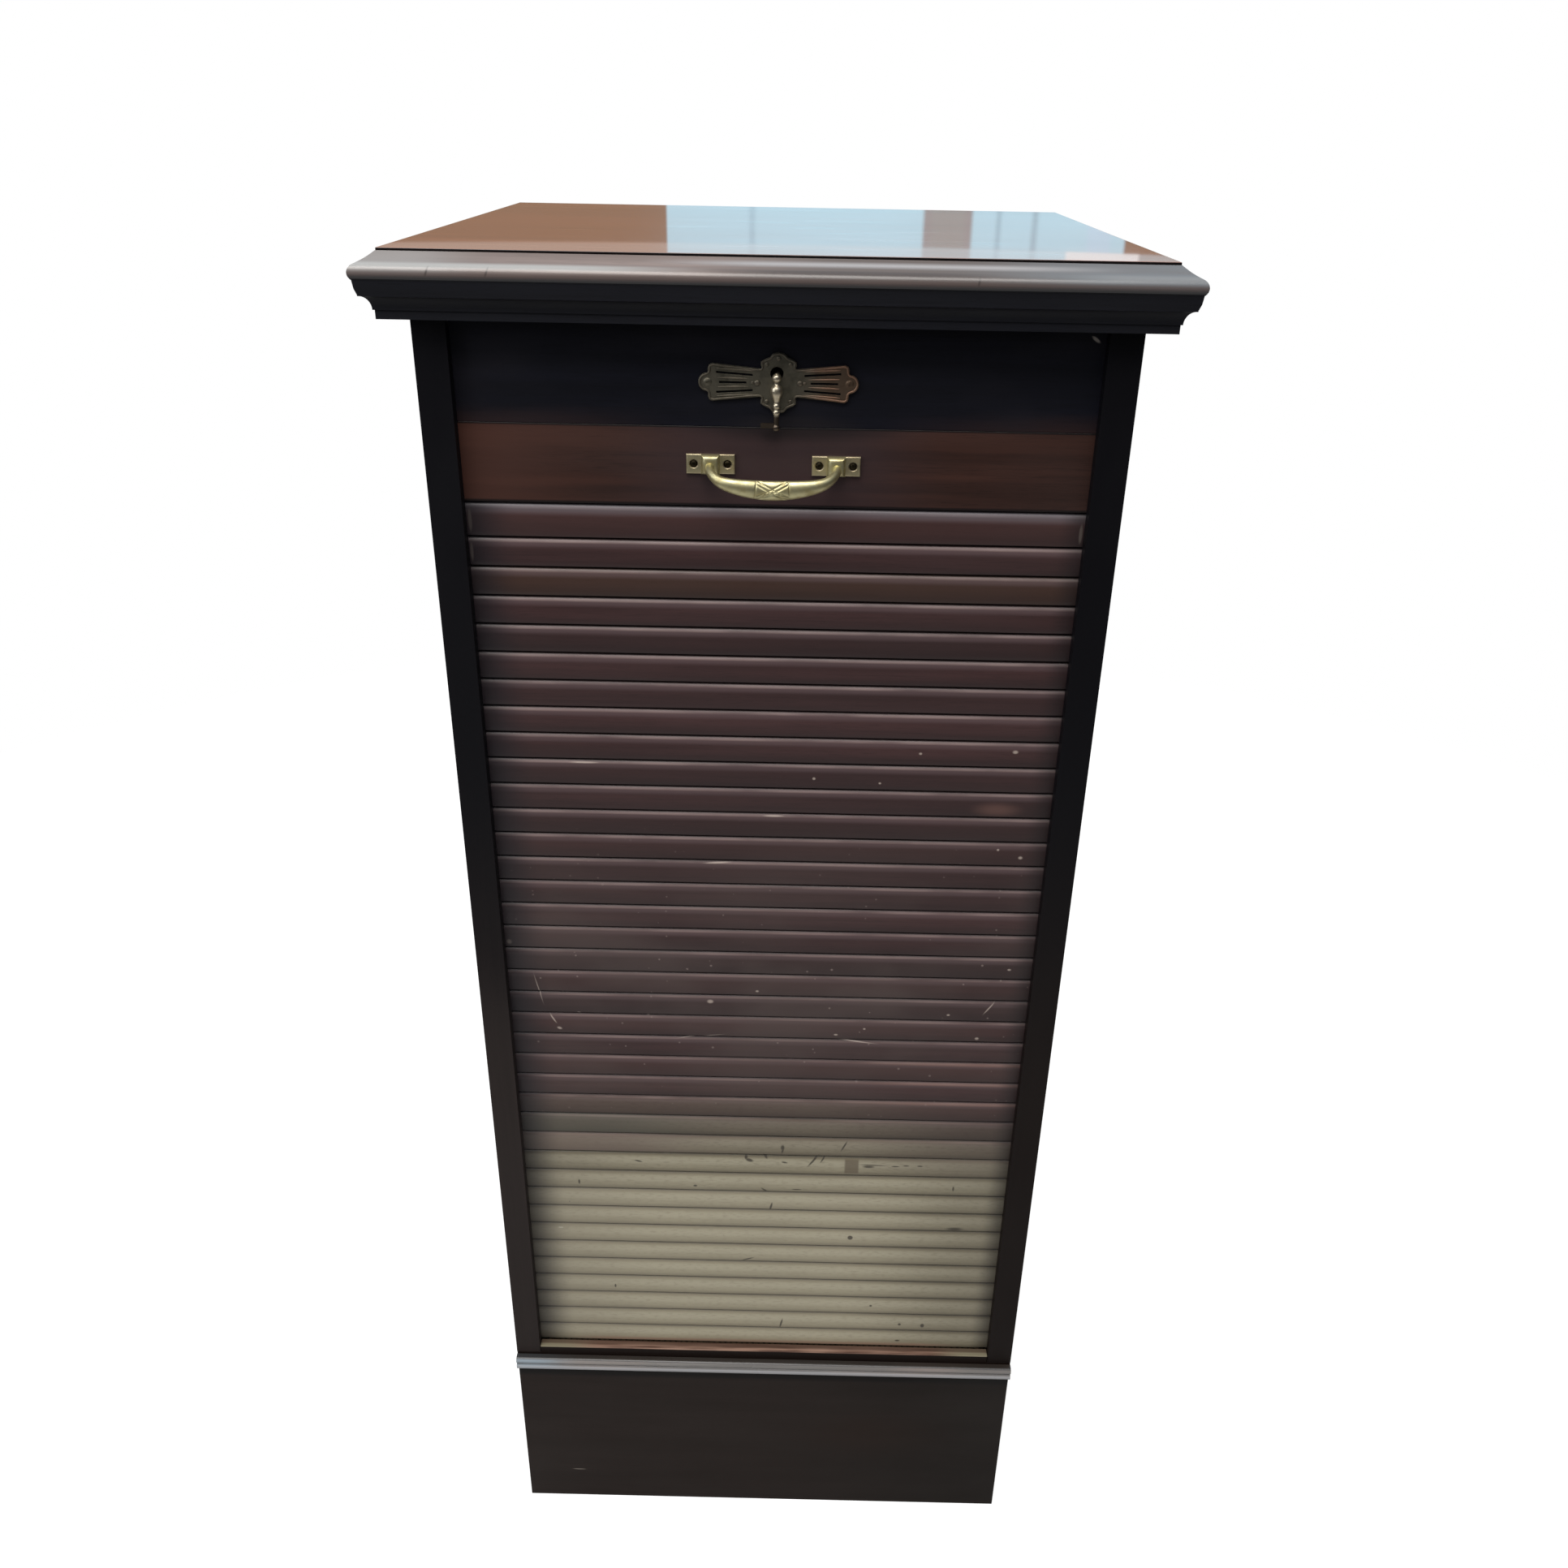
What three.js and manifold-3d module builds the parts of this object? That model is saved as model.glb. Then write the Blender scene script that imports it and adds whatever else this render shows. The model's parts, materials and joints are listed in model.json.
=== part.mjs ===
// A tall, narrow cabinet closed by a tambour: wooden slats on a canvas that slide down in side tracks,
// under the cabinet's floor and up behind a false back. The front has a fixed lock rail with a winged
// escutcheon and a folding key, a leading rail with a cast brass pull, and a reeded strip on the plinth.
// Millimetres, +Z up, front towards -Y. The origin is on the floor at the centre of the overall box.
import * as THREE from "three";
import { mergeVertices } from "three/addons/utils/BufferGeometryUtils.js";
import Module from "manifold-3d";

const wasm = await Module();
wasm.setup();

// Clearances
const fitGap = 0.3;
const cutOverrun = 2;
const weldDistance = 0.0005;

// Carcass
const carcassWidth = 500;
const carcassDepth = 482;
const sideThickness = 23.7;
const backThickness = 12;
const housingDepth = 6;

// Heights of the front, from the floor up
const plinthHeight = 201;
const mouldingHeight = 18.7;
const sillHeight = 8.3;
const slatPitch = 22.6;
const topSlatPitch = 26;
const slatCount = 38;
const leadingRailHeight = 57;
const lockRailHeight = 72;
const corniceHeight = 30.5;

// Tambour
const curtainRecess = 10;
const slatThickness = 8;
const slatEdgeRound = 4;
const slatFootRound = 1;
const slatEdgeSteps = 4;
const trackDepth = 7;
const slatEndPlay = 0.6;
const canvasThickness = 0.8;
const canvasMargin = 6;
const canvasTail = 14;
const canvasLap = 12;
const trackBendRadius = 80;
const trackFloorHeight = 70;
const trackBackInset = 27;
const trackTopInset = 50;
const bendSteps = 12;

// Front boards
const boardThickness = 18;

// Inside
const boardFrontInset = 34;
const shelfThickness = 16;
const shelfCount = 3;
const falseBackThickness = 6;
const falseBackClearance = 4;

// Top
const topBoardThickness = 19.7;
const panelThickness = 14;
const panelOverhang = 14;
const panelEdgeRound = 1;
const panelEdgeSteps = 3;
const noseOverhang = 30;
const noseDrop = 0.6;
const noseRound = 6;
const noseSteps = 7;
const noseStartDegrees = -48;
const noseEndDegrees = 64;
const slopeDrop = 1.8;
const ovoloOverhang = 27.3;
const ovoloDrop = 10.5;
const arrisOverhang = 25.9;
const arrisDrop = 15.2;
const coveOverhang = 22.4;
const coveDrop = 18;
const filletOverhang = 19;
const filletDrop = 24.5;
const corniceFootOverhang = 17.8;

// Reeded strip
const mouldingProud = 7.5;
const mouldingFlange = 3.4;
const reedMargin = 0.8;
const reedSteps = 5;

// Brass pull
const pullRise = 30.8;
const pullShift = -1.7;
const footSpacing = 90;
const footWidth = 35;
const footHeight = 14.2;
const footThickness = 2.5;
const footCorner = 1.5;
const bossWidth = 12;
const bossHeight = 10;
const bossDepth = 5;
const gripProud = 26;
const gripDrop = 12.6;
const gripEndDrop = 8;
const gripEndProud = 24;
const gripEndInset = 9;
const neckProud = 14;
const neckDrop = 2.5;
const neckRadius = 3.1;
const gripHalfDepth = 4;
const gripHalfHeight = 7;
const gripSteps = 22;
const gripSides = 10;

// Escutcheon
const keyRise = 35.2;
const plateThickness = 2;
const plateShift = 1.2;
const plateCentreDrop = 4.2;
const plateHalfHeight = 20.8;
const lobeHalfWidth = 12.5;
const lobeTop = 14;
const waistHalfHeight = 9.3;
const waistOffset = 11;
const wingHalfHeight = 12.8;
const wingLength = 48.6;
const wingCorner = 2.2;
const tipLobeOffset = 49.7;
const tipLobeRadius = 6.4;
const tipLobeSteps = 4;
const keyholeRadius = 4.6;
const keyholeSlotWidth = 3.2;
const keyholeSlotLength = 12;
const keyholeRise = 2.2;
const pierceWidth = 1.5;
const pierceStart = 18;
const pierceEnd = 43.5;
const middlePierceStart = 22.5;
const middlePierceEnd = 41.5;
const pierceSpacing = 6.8;
const pierceFlareShare = 0.76;

// Lock
const caseWidth = 60;
const caseHeight = 44;
const caseTopRise = 21.6;
const caseFront = 15.3;
const caseWall = 1.5;
const hookPivotShift = 8.5;
const hookPivotRise = 12;
const hookReach = 36;
const hookBand = 5;
const hookBossRadius = 5.5;
const hookThickness = 3.4;
const hookFront = 20.2;
const hookPlay = 0.6;
const hookRestDegrees = 87;
const hookToeDegrees = 37;
const hookSwingDegrees = 60;
const hookLipThickness = 4;
const postRadius = 1.8;
const postCollarRadius = 3.2;

// Key
const barrelRadius = 2.4;
const stemStandOff = 4.8;
const earThickness = 1.6;
const earHalfHeight = 1.7;
const pinRadius = 0.8;
const pinHalfLength = 2.9;
const pinHoleRadius = 1.1;
const ballRadius = 3.2;
const forkGap = 0.3;
const bitReach = 6.4;
const bitWidth = 2;
const bitLength = 2.2;
const stemLength = 36.1;
const stemRadius = 2;
const balusterRadius = 4.3;
const beadRadius = 2.6;
const flagReach = 11;
const flagHeight = 3.4;
const flagThickness = 2;
const flagRise = 3.6;
const turnedSides = 20;

// Colours
const darkMahogany = 0x2b2124;
const polishedMahogany = 0x6b3f2a;
const leadingRailBrown = 0x33211c;
const slatBrown = 0x3a2a28;
const slatGrey = 0x6d675a;
const slatPale = 0x8c8773;
const canvasTan = 0x7d6a50;
const castBrass = 0xa89a5a;
const antiqueBrass = 0x4b483e;
const lockIron = 0x4a4a4c;

// Angles
const radians = Math.PI / 180;
const downDegrees = 270;

// Levels and planes that several pieces share
const mouldingTop = plinthHeight + mouldingHeight;
const sillTop = mouldingTop + sillHeight;
const curtainTop = sillTop + (slatCount - 1) * slatPitch + topSlatPitch;
const leadingRailTop = curtainTop + leadingRailHeight;
const corniceBottom = leadingRailTop + lockRailHeight;
const carcassTop = corniceBottom + corniceHeight;
const sideTop = carcassTop - topBoardThickness - fitGap;
const halfWidth = carcassWidth / 2;
const openingHalf = halfWidth - sideThickness;
const slatHalfLength = openingHalf + trackDepth - slatEndPlay;
const trackFront = curtainRecess - fitGap;
const trackBack = curtainRecess + slatThickness + fitGap;
const canvasFront = curtainRecess + slatThickness + fitGap;
const canvasBack = canvasFront + canvasThickness;
const boardBack = curtainRecess + boardThickness;
const trackBackCentre = carcassDepth - trackBackInset;
const falseBackFront = trackBackCentre - slatThickness / 2 - falseBackClearance - falseBackThickness;
const pullHeight = curtainTop + pullRise;
const keyAxisHeight = leadingRailTop + keyRise;
const plateFront = curtainRecess - fitGap - plateThickness;
const stemPlane = plateFront - stemStandOff;
const hookBack = hookFront + hookThickness;
const caseTop = keyAxisHeight + caseTopRise;
const caseBottom = caseTop - caseHeight;
const hookPivotHeight = caseBottom + hookPivotRise;
const hookSlotLeft = hookPivotShift - hookReach - hookPlay;

// Solids for cuts and joins
function toSolid(geometry) {
  const bare = geometry.clone();
  bare.deleteAttribute("normal");
  bare.deleteAttribute("uv");
  const merged = mergeVertices(bare, weldDistance);
  return new wasm.Manifold(
    new wasm.Mesh({
      numProp: 3,
      vertProperties: new Float32Array(merged.attributes.position.array),
      triVerts: new Uint32Array(merged.index.array),
    }),
  );
}

function toGeometry(solid) {
  const mesh = solid.getMesh();
  const geometry = new THREE.BufferGeometry();
  geometry.setAttribute("position", new THREE.BufferAttribute(mesh.vertProperties, 3));
  geometry.setIndex(new THREE.BufferAttribute(mesh.triVerts, 1));
  geometry.computeVertexNormals();
  return geometry;
}

function cut(geometry, tools) {
  return toGeometry(tools.reduce((left, tool) => left.subtract(toSolid(tool)), toSolid(geometry)));
}

function join(geometries) {
  return toGeometry(geometries.map(toSolid).reduce((whole, piece) => whole.add(piece)));
}

// Plain shapes
function box(x0, x1, y0, y1, z0, z1) {
  const geometry = new THREE.BoxGeometry(x1 - x0, y1 - y0, z1 - z0);
  return geometry.translate((x0 + x1) / 2, (y0 + y1) / 2, (z0 + z1) / 2);
}

function outline(points) {
  return new THREE.Shape(points.map(([a, b]) => new THREE.Vector2(a, b)));
}

// An outline in (x, y), raised from z0 to z1
function raised(shape, z0, z1, curveSegments) {
  const geometry = new THREE.ExtrudeGeometry(shape, { depth: z1 - z0, bevelEnabled: false, curveSegments });
  return geometry.translate(0, 0, z0);
}

// An outline in (y, z), drawn out from x0 to x1
function drawnAlongX(shape, x0, x1, curveSegments) {
  const geometry = new THREE.ExtrudeGeometry(shape, { depth: x1 - x0, bevelEnabled: false, curveSegments });
  const turn = new THREE.Matrix4().makeBasis(
    new THREE.Vector3(0, 1, 0),
    new THREE.Vector3(0, 0, 1),
    new THREE.Vector3(1, 0, 0),
  );
  return geometry.applyMatrix4(turn).translate(x0, 0, 0);
}

// An outline in (x, z), drawn out from y0 to y1
function drawnAlongY(shape, y0, y1, curveSegments) {
  const geometry = new THREE.ExtrudeGeometry(shape, { depth: y1 - y0, bevelEnabled: false, curveSegments });
  return geometry.rotateX(Math.PI / 2).translate(0, y1, 0);
}

function rodAlongY(radius, y0, y1, z) {
  const geometry = new THREE.CylinderGeometry(radius, radius, y1 - y0, turnedSides);
  return geometry.translate(0, (y0 + y1) / 2, z);
}

function rodAlongX(radius, halfLength, y, z) {
  const geometry = new THREE.CylinderGeometry(radius, radius, 2 * halfLength, turnedSides);
  return geometry.rotateZ(Math.PI / 2).translate(0, y, z);
}

// A closed skin over rings that hold the same number of points, with a flat cap on each end
function loft(rings) {
  const sides = rings[0].length;
  const points = rings.flat();
  const centreOf = (ring) => ring.reduce((sum, p) => sum.add(p), new THREE.Vector3()).divideScalar(sides);
  const first = points.length;
  points.push(centreOf(rings[0]), centreOf(rings[rings.length - 1]));
  const faces = [];
  for (let side = 0; side < sides; side += 1) {
    const next = (side + 1) % sides;
    for (let ring = 0; ring + 1 < rings.length; ring += 1) {
      const low = ring * sides;
      const high = low + sides;
      faces.push(low + side, low + next, high + next, low + side, high + next, high + side);
    }
    const last = (rings.length - 1) * sides;
    faces.push(first, next, side);
    faces.push(first + 1, last + side, last + next);
  }
  const geometry = new THREE.BufferGeometry().setFromPoints(points);
  geometry.setIndex(faces);
  geometry.computeVertexNormals();
  return geometry;
}

const cabinet = new THREE.Group();
cabinet.position.y = (noseOverhang - carcassDepth) / 2;

function add(name, geometry, color, roughness, metalness) {
  const material = new THREE.MeshStandardMaterial({ color, roughness, metalness });
  const mesh = new THREE.Mesh(geometry, material);
  mesh.name = name;
  cabinet.add(mesh);
  return mesh;
}

function addWood(name, geometry, color = darkMahogany) {
  return add(name, geometry, color, 0.4, 0);
}

// The track that a slat's ends run in: down the front, along under the floor and up the back
function trackOutline() {
  const half = slatThickness / 2 + fitGap;
  const frontCentre = (trackFront + trackBack) / 2;
  const bendTop = trackFloorHeight + trackBendRadius;
  const frontBend = frontCentre + trackBendRadius;
  const backBend = trackBackCentre - trackBendRadius;
  const frontTop = sideTop + cutOverrun;
  const backTop = sideTop - trackTopInset;
  const outer = trackBendRadius + half;
  const inner = trackBendRadius - half;
  const shape = new THREE.Shape();
  shape.moveTo(trackFront, frontTop);
  shape.lineTo(trackFront, bendTop);
  shape.absarc(frontBend, bendTop, outer, Math.PI, 1.5 * Math.PI, false);
  shape.absarc(backBend, bendTop, outer, 1.5 * Math.PI, 2 * Math.PI, false);
  shape.lineTo(trackBackCentre + half, backTop);
  shape.lineTo(trackBackCentre - half, backTop);
  shape.absarc(backBend, bendTop, inner, 2 * Math.PI, 1.5 * Math.PI, true);
  shape.absarc(frontBend, bendTop, inner, 1.5 * Math.PI, Math.PI, true);
  shape.lineTo(trackBack, frontTop);
  return shape;
}

function shelfLevels() {
  const room = (sideTop - sillTop) / (shelfCount + 1);
  return Array.from({ length: shelfCount }, (_, n) => sillTop + room * (n + 1));
}

// A side stands on the floor. Below the moulding it steps back behind the plinth board.
function side(sign) {
  const shape = outline([
    [trackFront, 0],
    [carcassDepth, 0],
    [carcassDepth, sideTop],
    [0, sideTop],
    [0, mouldingTop + fitGap],
    [trackFront, mouldingTop + fitGap],
  ]);
  const inner = sign * openingHalf;
  const outer = sign * halfWidth;
  const board = drawnAlongX(shape, Math.min(inner, outer), Math.max(inner, outer));
  const reach = (depth) => [inner - sign * cutOverrun, inner + sign * depth].sort((a, b) => a - b);
  const [track0, track1] = reach(trackDepth);
  const [housing0, housing1] = reach(housingDepth);
  const tools = [drawnAlongX(trackOutline(), track0, track1, bendSteps)];
  const levels = [sillTop, ...shelfLevels()];
  levels.forEach((level) => {
    tools.push(
      box(
        housing0,
        housing1,
        boardFrontInset - fitGap,
        falseBackFront,
        level - shelfThickness - fitGap,
        level + fitGap,
      ),
    );
  });
  return cut(board, tools);
}

// A board let into the sides' housings, with its top face at the level given
function housedBoard(level) {
  const reach = openingHalf + housingDepth - fitGap;
  return box(-reach, reach, boardFrontInset, falseBackFront - fitGap, level - shelfThickness, level);
}

function addCarcass() {
  addWood("left_side", side(-1));
  addWood("right_side", side(1));
  const reach = openingHalf - fitGap;
  const low = trackFloorHeight + trackBendRadius;
  addWood("back_panel", box(-reach, reach, carcassDepth - backThickness, carcassDepth, 0, sideTop));
  addWood(
    "false_back",
    box(-reach, reach, falseBackFront, falseBackFront + falseBackThickness, low, sideTop),
  );
  addWood("bottom_board", housedBoard(sillTop));
  const names = ["lower_shelf", "middle_shelf", "upper_shelf"];
  shelfLevels().forEach((level, n) => addWood(names[n] ?? `shelf_${n + 1}`, housedBoard(level)));
}

// The plinth board covers the full width up to the moulding, and rises between the sides as the sill
function plinthBoard() {
  const sillHalf = openingHalf - fitGap;
  const shape = outline([
    [-halfWidth, 0],
    [halfWidth, 0],
    [halfWidth, mouldingTop],
    [sillHalf, mouldingTop],
    [sillHalf, sillTop],
    [-sillHalf, sillTop],
    [-sillHalf, mouldingTop],
    [-halfWidth, mouldingTop],
  ]);
  return drawnAlongY(shape, 0, trackFront - fitGap);
}

// Two half-round reeds between narrow flats
function plinthMoulding() {
  const reedRadius = (mouldingHeight - 2 * reedMargin) / 4;
  const flat = mouldingFlange - mouldingProud;
  const shape = new THREE.Shape();
  shape.moveTo(-fitGap, plinthHeight);
  shape.lineTo(-fitGap, mouldingTop);
  shape.lineTo(flat, mouldingTop);
  shape.lineTo(flat, mouldingTop - reedMargin);
  [3, 1].forEach((place) => {
    const centre = plinthHeight + reedMargin + place * reedRadius;
    const bulge = mouldingProud + flat;
    shape.absellipse(flat, centre, bulge, reedRadius, Math.PI / 2, 1.5 * Math.PI, false, 0);
  });
  shape.lineTo(flat, plinthHeight);
  return drawnAlongX(shape, -halfWidth, halfWidth, reedSteps);
}

// Overhang and height of the cornice's section, from its foot to the bed that the top panel lies on
function corniceSection() {
  const bed = carcassTop;
  const slopeTop = bed + panelThickness - slopeDrop;
  const noseCentre = bed - noseDrop;
  const noseInset = noseOverhang - noseRound;
  const at = (overhang, height) => new THREE.Vector2(overhang, height);
  const points = [
    at(fitGap, corniceBottom),
    at(corniceFootOverhang, corniceBottom),
    at(filletOverhang, bed - filletDrop),
    at(coveOverhang, bed - coveDrop),
    at(arrisOverhang, bed - arrisDrop),
    at(ovoloOverhang, bed - ovoloDrop),
  ];
  const noseSweep = noseEndDegrees - noseStartDegrees;
  for (let step = 0; step <= noseSteps; step += 1) {
    const angle = (noseStartDegrees + (step / noseSteps) * noseSweep) * radians;
    points.push(at(noseInset + noseRound * Math.cos(angle), noseCentre + noseRound * Math.sin(angle)));
  }
  points.push(at(panelOverhang + fitGap, slopeTop));
  points.push(at(panelOverhang + fitGap, bed));
  points.push(at(fitGap, bed));
  return points;
}

// The cornice runs along the left side, the front and the right side, mitred at the front corners.
// Its section is drawn out in one step for each run, and each step's ring is then set in its place.
function cornice() {
  const section = corniceSection();
  const ringPlaces = [
    (overhang) => [halfWidth + overhang, carcassDepth],
    (overhang) => [halfWidth + overhang, -overhang],
    (overhang) => [-halfWidth - overhang, -overhang],
    (overhang) => [-halfWidth - overhang, carcassDepth],
  ];
  const runs = ringPlaces.length - 1;
  const shape = new THREE.Shape(section);
  const geometry = new THREE.ExtrudeGeometry(shape, { depth: runs, steps: runs, bevelEnabled: false });
  const position = geometry.attributes.position;
  for (let n = 0; n < position.count; n += 1) {
    const [x, y] = ringPlaces[Math.round(position.getZ(n))](position.getX(n));
    position.setXYZ(n, x, y, position.getY(n));
  }
  geometry.computeVertexNormals();
  return geometry;
}

// The polished top lies in the cornice's bed. Its upper edge is rounded over at the front and sides.
function topPanel() {
  const reach = halfWidth + panelOverhang;
  const low = carcassTop + fitGap;
  const high = carcassTop + panelThickness;
  const lip = high - panelEdgeRound;
  const ringAt = (margin, z) => [
    new THREE.Vector3(-reach + margin, -panelOverhang + margin, z),
    new THREE.Vector3(reach - margin, -panelOverhang + margin, z),
    new THREE.Vector3(reach - margin, carcassDepth, z),
    new THREE.Vector3(-reach + margin, carcassDepth, z),
  ];
  const rings = [ringAt(0, low), ringAt(0, lip)];
  for (let step = 1; step <= panelEdgeSteps; step += 1) {
    const angle = (step / panelEdgeSteps) * (Math.PI / 2);
    rings.push(ringAt(panelEdgeRound * (1 - Math.cos(angle)), lip + panelEdgeRound * Math.sin(angle)));
  }
  return loft(rings);
}

function addTop() {
  addWood(
  "top_board",
  box(-halfWidth, halfWidth, 0, carcassDepth, carcassTop - topBoardThickness, carcassTop),
);
  add("top_panel", topPanel(), polishedMahogany, 0.1, 0);
}

// A slat's section in (y, z) from its foot, flat in front with a rounded upper edge
function slatSection(foot, height) {
  const front = curtainRecess;
  const back = curtainRecess + slatThickness;
  const top = foot + height - fitGap;
  const shape = new THREE.Shape();
  shape.moveTo(back, foot);
  shape.lineTo(back, top);
  shape.lineTo(front + slatEdgeRound, top);
  shape.absarc(front + slatEdgeRound, top - slatEdgeRound, slatEdgeRound, Math.PI / 2, Math.PI, false);
  shape.lineTo(front, foot + slatFootRound);
  shape.lineTo(front + slatFootRound, foot);
  return shape;
}

function slatColor(number) {
  const fadedFrom = 27;
  if (number >= fadedFrom) return slatPale;
  return number === fadedFrom - 1 ? slatGrey : slatBrown;
}

// Slat 1 is the wide one under the leading rail
function addCurtain() {
  for (let number = 1; number <= slatCount; number += 1) {
    const foot = sillTop + (slatCount - number) * slatPitch;
    const height = number === 1 ? topSlatPitch : slatPitch;
    const slat = drawnAlongX(slatSection(foot, height), -slatHalfLength, slatHalfLength, slatEdgeSteps);
    addWood(`slat_${String(number).padStart(2, "0")}`, slat, slatColor(number));
  }
  const reach = openingHalf - canvasMargin;
  const canvas = box(-reach, reach, canvasFront, canvasBack, sillTop - canvasTail, curtainTop + canvasLap);
  add("canvas_backing", canvas, canvasTan, 0.9, 0);
}

// A board between the sides whose ends are tongues that fit the tracks
function tonguedBoard(z0, z1) {
  const tongueBack = curtainRecess + slatThickness;
  const bodyHalf = openingHalf - fitGap;
  const plan = outline([
    [-slatHalfLength, curtainRecess],
    [slatHalfLength, curtainRecess],
    [slatHalfLength, tongueBack],
    [bodyHalf, tongueBack],
    [bodyHalf, boardBack],
    [-bodyHalf, boardBack],
    [-bodyHalf, tongueBack],
    [-slatHalfLength, tongueBack],
  ]);
  return raised(plan, z0, z1);
}

// How far the hook's pivot is from a circle of the radius given, along X, at the depth given below it
function halfChord(radius, depth) {
  return Math.sqrt(radius ** 2 - depth ** 2);
}

// The hook comes in through the mouth of the notch and swings under the lip that its right part leaves
function hookNotch() {
  const top = leadingRailTop;
  const lipBottom = top - hookLipThickness;
  const pivotDrop = hookPivotHeight - top;
  const tipDegrees = hookToeDegrees + hookSwingDegrees - hookRestDegrees;
  const front = hookFront - hookPlay;
  const back = boardBack + cutOverrun;
  const floor = hookPivotHeight - hookReach - hookPlay;
  const left = hookPivotShift - halfChord(hookReach, pivotDrop) - hookPlay;
  const lipDrop = hookPivotHeight - lipBottom + hookPlay;
  const lipLeft = hookPivotShift - halfChord(hookReach - hookBand, lipDrop) + hookPlay;
  const right = hookPivotShift + hookReach * Math.sin(tipDegrees * radians) + hookPlay;
  const mouth = box(left, lipLeft, front, back, floor, top + cutOverrun);
  const room = box(left, right, front, back, floor, lipBottom);
  return [mouth, room];
}

// The leading rail has a rebate for the canvas and a notch for the lock's hook
function leadingRail() {
  const top = leadingRailTop;
  const rebateTop = curtainTop + canvasLap + fitGap;
  const half = openingHalf - canvasMargin + fitGap;
  const rebate = box(
    -half,
    half,
    curtainRecess + slatThickness,
    boardBack + cutOverrun,
    curtainTop - cutOverrun,
    rebateTop,
  );
  return cut(tonguedBoard(curtainTop, top), [rebate, ...hookNotch()]);
}

// Round, with a slot below for the key's bit. The barrel sits low in the round part.
function keyholeOutline() {
  const half = keyholeSlotWidth / 2;
  const start = Math.asin(half / keyholeRadius);
  const centre = keyAxisHeight + keyholeRise;
  const foot = keyAxisHeight - keyholeSlotLength;
  const shape = new THREE.Shape();
  shape.moveTo(half, foot);
  shape.absarc(0, centre, keyholeRadius, -Math.PI / 2 + start, 1.5 * Math.PI - start, false);
  shape.lineTo(-half, foot);
  return shape;
}

// The lock rail is fixed. Its back is cut out for the lock, and a slot lets the hook down.
function lockRail() {
  const half = caseWidth / 2 + fitGap;
  const pocket = box(
    -half,
    half,
    caseFront - fitGap,
    boardBack + cutOverrun,
    caseBottom - fitGap,
    caseTop + fitGap,
  );
  const slot = box(
    hookSlotLeft,
    hookPivotShift,
    hookFront - hookPlay,
    hookBack + hookPlay,
    leadingRailTop - cutOverrun,
    caseBottom + cutOverrun,
  );
  const bore = drawnAlongY(
    keyholeOutline(),
    curtainRecess - cutOverrun,
    caseFront + cutOverrun,
    turnedSides,
  );
  return cut(tonguedBoard(leadingRailTop + fitGap, sideTop), [pocket, slot, bore]);
}

// The lock case is hollow, open to the key in front and to the hook below. A post with a collar on
// each side of the hook carries it.
function lockCase() {
  const half = caseWidth / 2;
  const whole = box(-half, half, caseFront, boardBack, caseBottom, caseTop);
  const room = box(
    caseWall - half,
    half - caseWall,
    caseFront + caseWall,
    boardBack - caseWall,
    caseBottom + caseWall,
    caseTop - caseWall,
  );
  const mouth = box(
    hookSlotLeft,
    hookPivotShift,
    hookFront - fitGap,
    hookBack + fitGap,
    caseBottom - cutOverrun,
    caseBottom + caseWall + cutOverrun,
  );
  const bore = drawnAlongY(
    keyholeOutline(),
    caseFront - cutOverrun,
    caseFront + caseWall + cutOverrun,
    turnedSides,
  );
  const front = caseFront + caseWall / 2;
  const back = boardBack - caseWall / 2;
  const post = [
    rodAlongY(postRadius, front, back, hookPivotHeight),
    rodAlongY(postCollarRadius, front, hookFront - fitGap, hookPivotHeight),
    rodAlongY(postCollarRadius, hookBack + fitGap, back, hookPivotHeight),
  ];
  post.forEach((rod) => rod.translate(hookPivotShift, 0, 0));
  return join([cut(whole, [room, mouth, bore]), ...post]);
}

// A flat hook on the case's post. At rest its arm lies to the left and its toe is drawn up into the lock
// rail. It swings about the post until the toe is under the leading rail's lip, and holds the rail up.
function lockHook() {
  const armAngle = (downDegrees - hookRestDegrees) * radians;
  const tipAngle = armAngle + hookToeDegrees * radians;
  const inner = hookReach - hookBand;
  const toe = new THREE.Shape();
  toe.absarc(hookPivotShift, hookPivotHeight, hookReach, armAngle, tipAngle, false);
  toe.absarc(hookPivotShift, hookPivotHeight, inner, tipAngle, armAngle, true);
  const half = hookBand / 2;
  const armEnd = hookReach - half;
  const arm = drawnAlongY(
    outline([
      [0, -half],
      [armEnd, -half],
      [armEnd, half],
      [0, half],
    ]),
    hookFront,
    hookBack,
  );
  arm.rotateY(-armAngle).translate(hookPivotShift, 0, hookPivotHeight);
  const boss = rodAlongY(hookBossRadius, hookFront, hookBack, hookPivotHeight);
  const hole = rodAlongY(
    postRadius + fitGap,
    hookFront - cutOverrun,
    hookBack + cutOverrun,
    hookPivotHeight,
  );
  boss.translate(hookPivotShift, 0, 0);
  hole.translate(hookPivotShift, 0, 0);
  return cut(join([arm, drawnAlongY(toe, hookFront, hookBack, turnedSides), boss]), [hole]);
}

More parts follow.
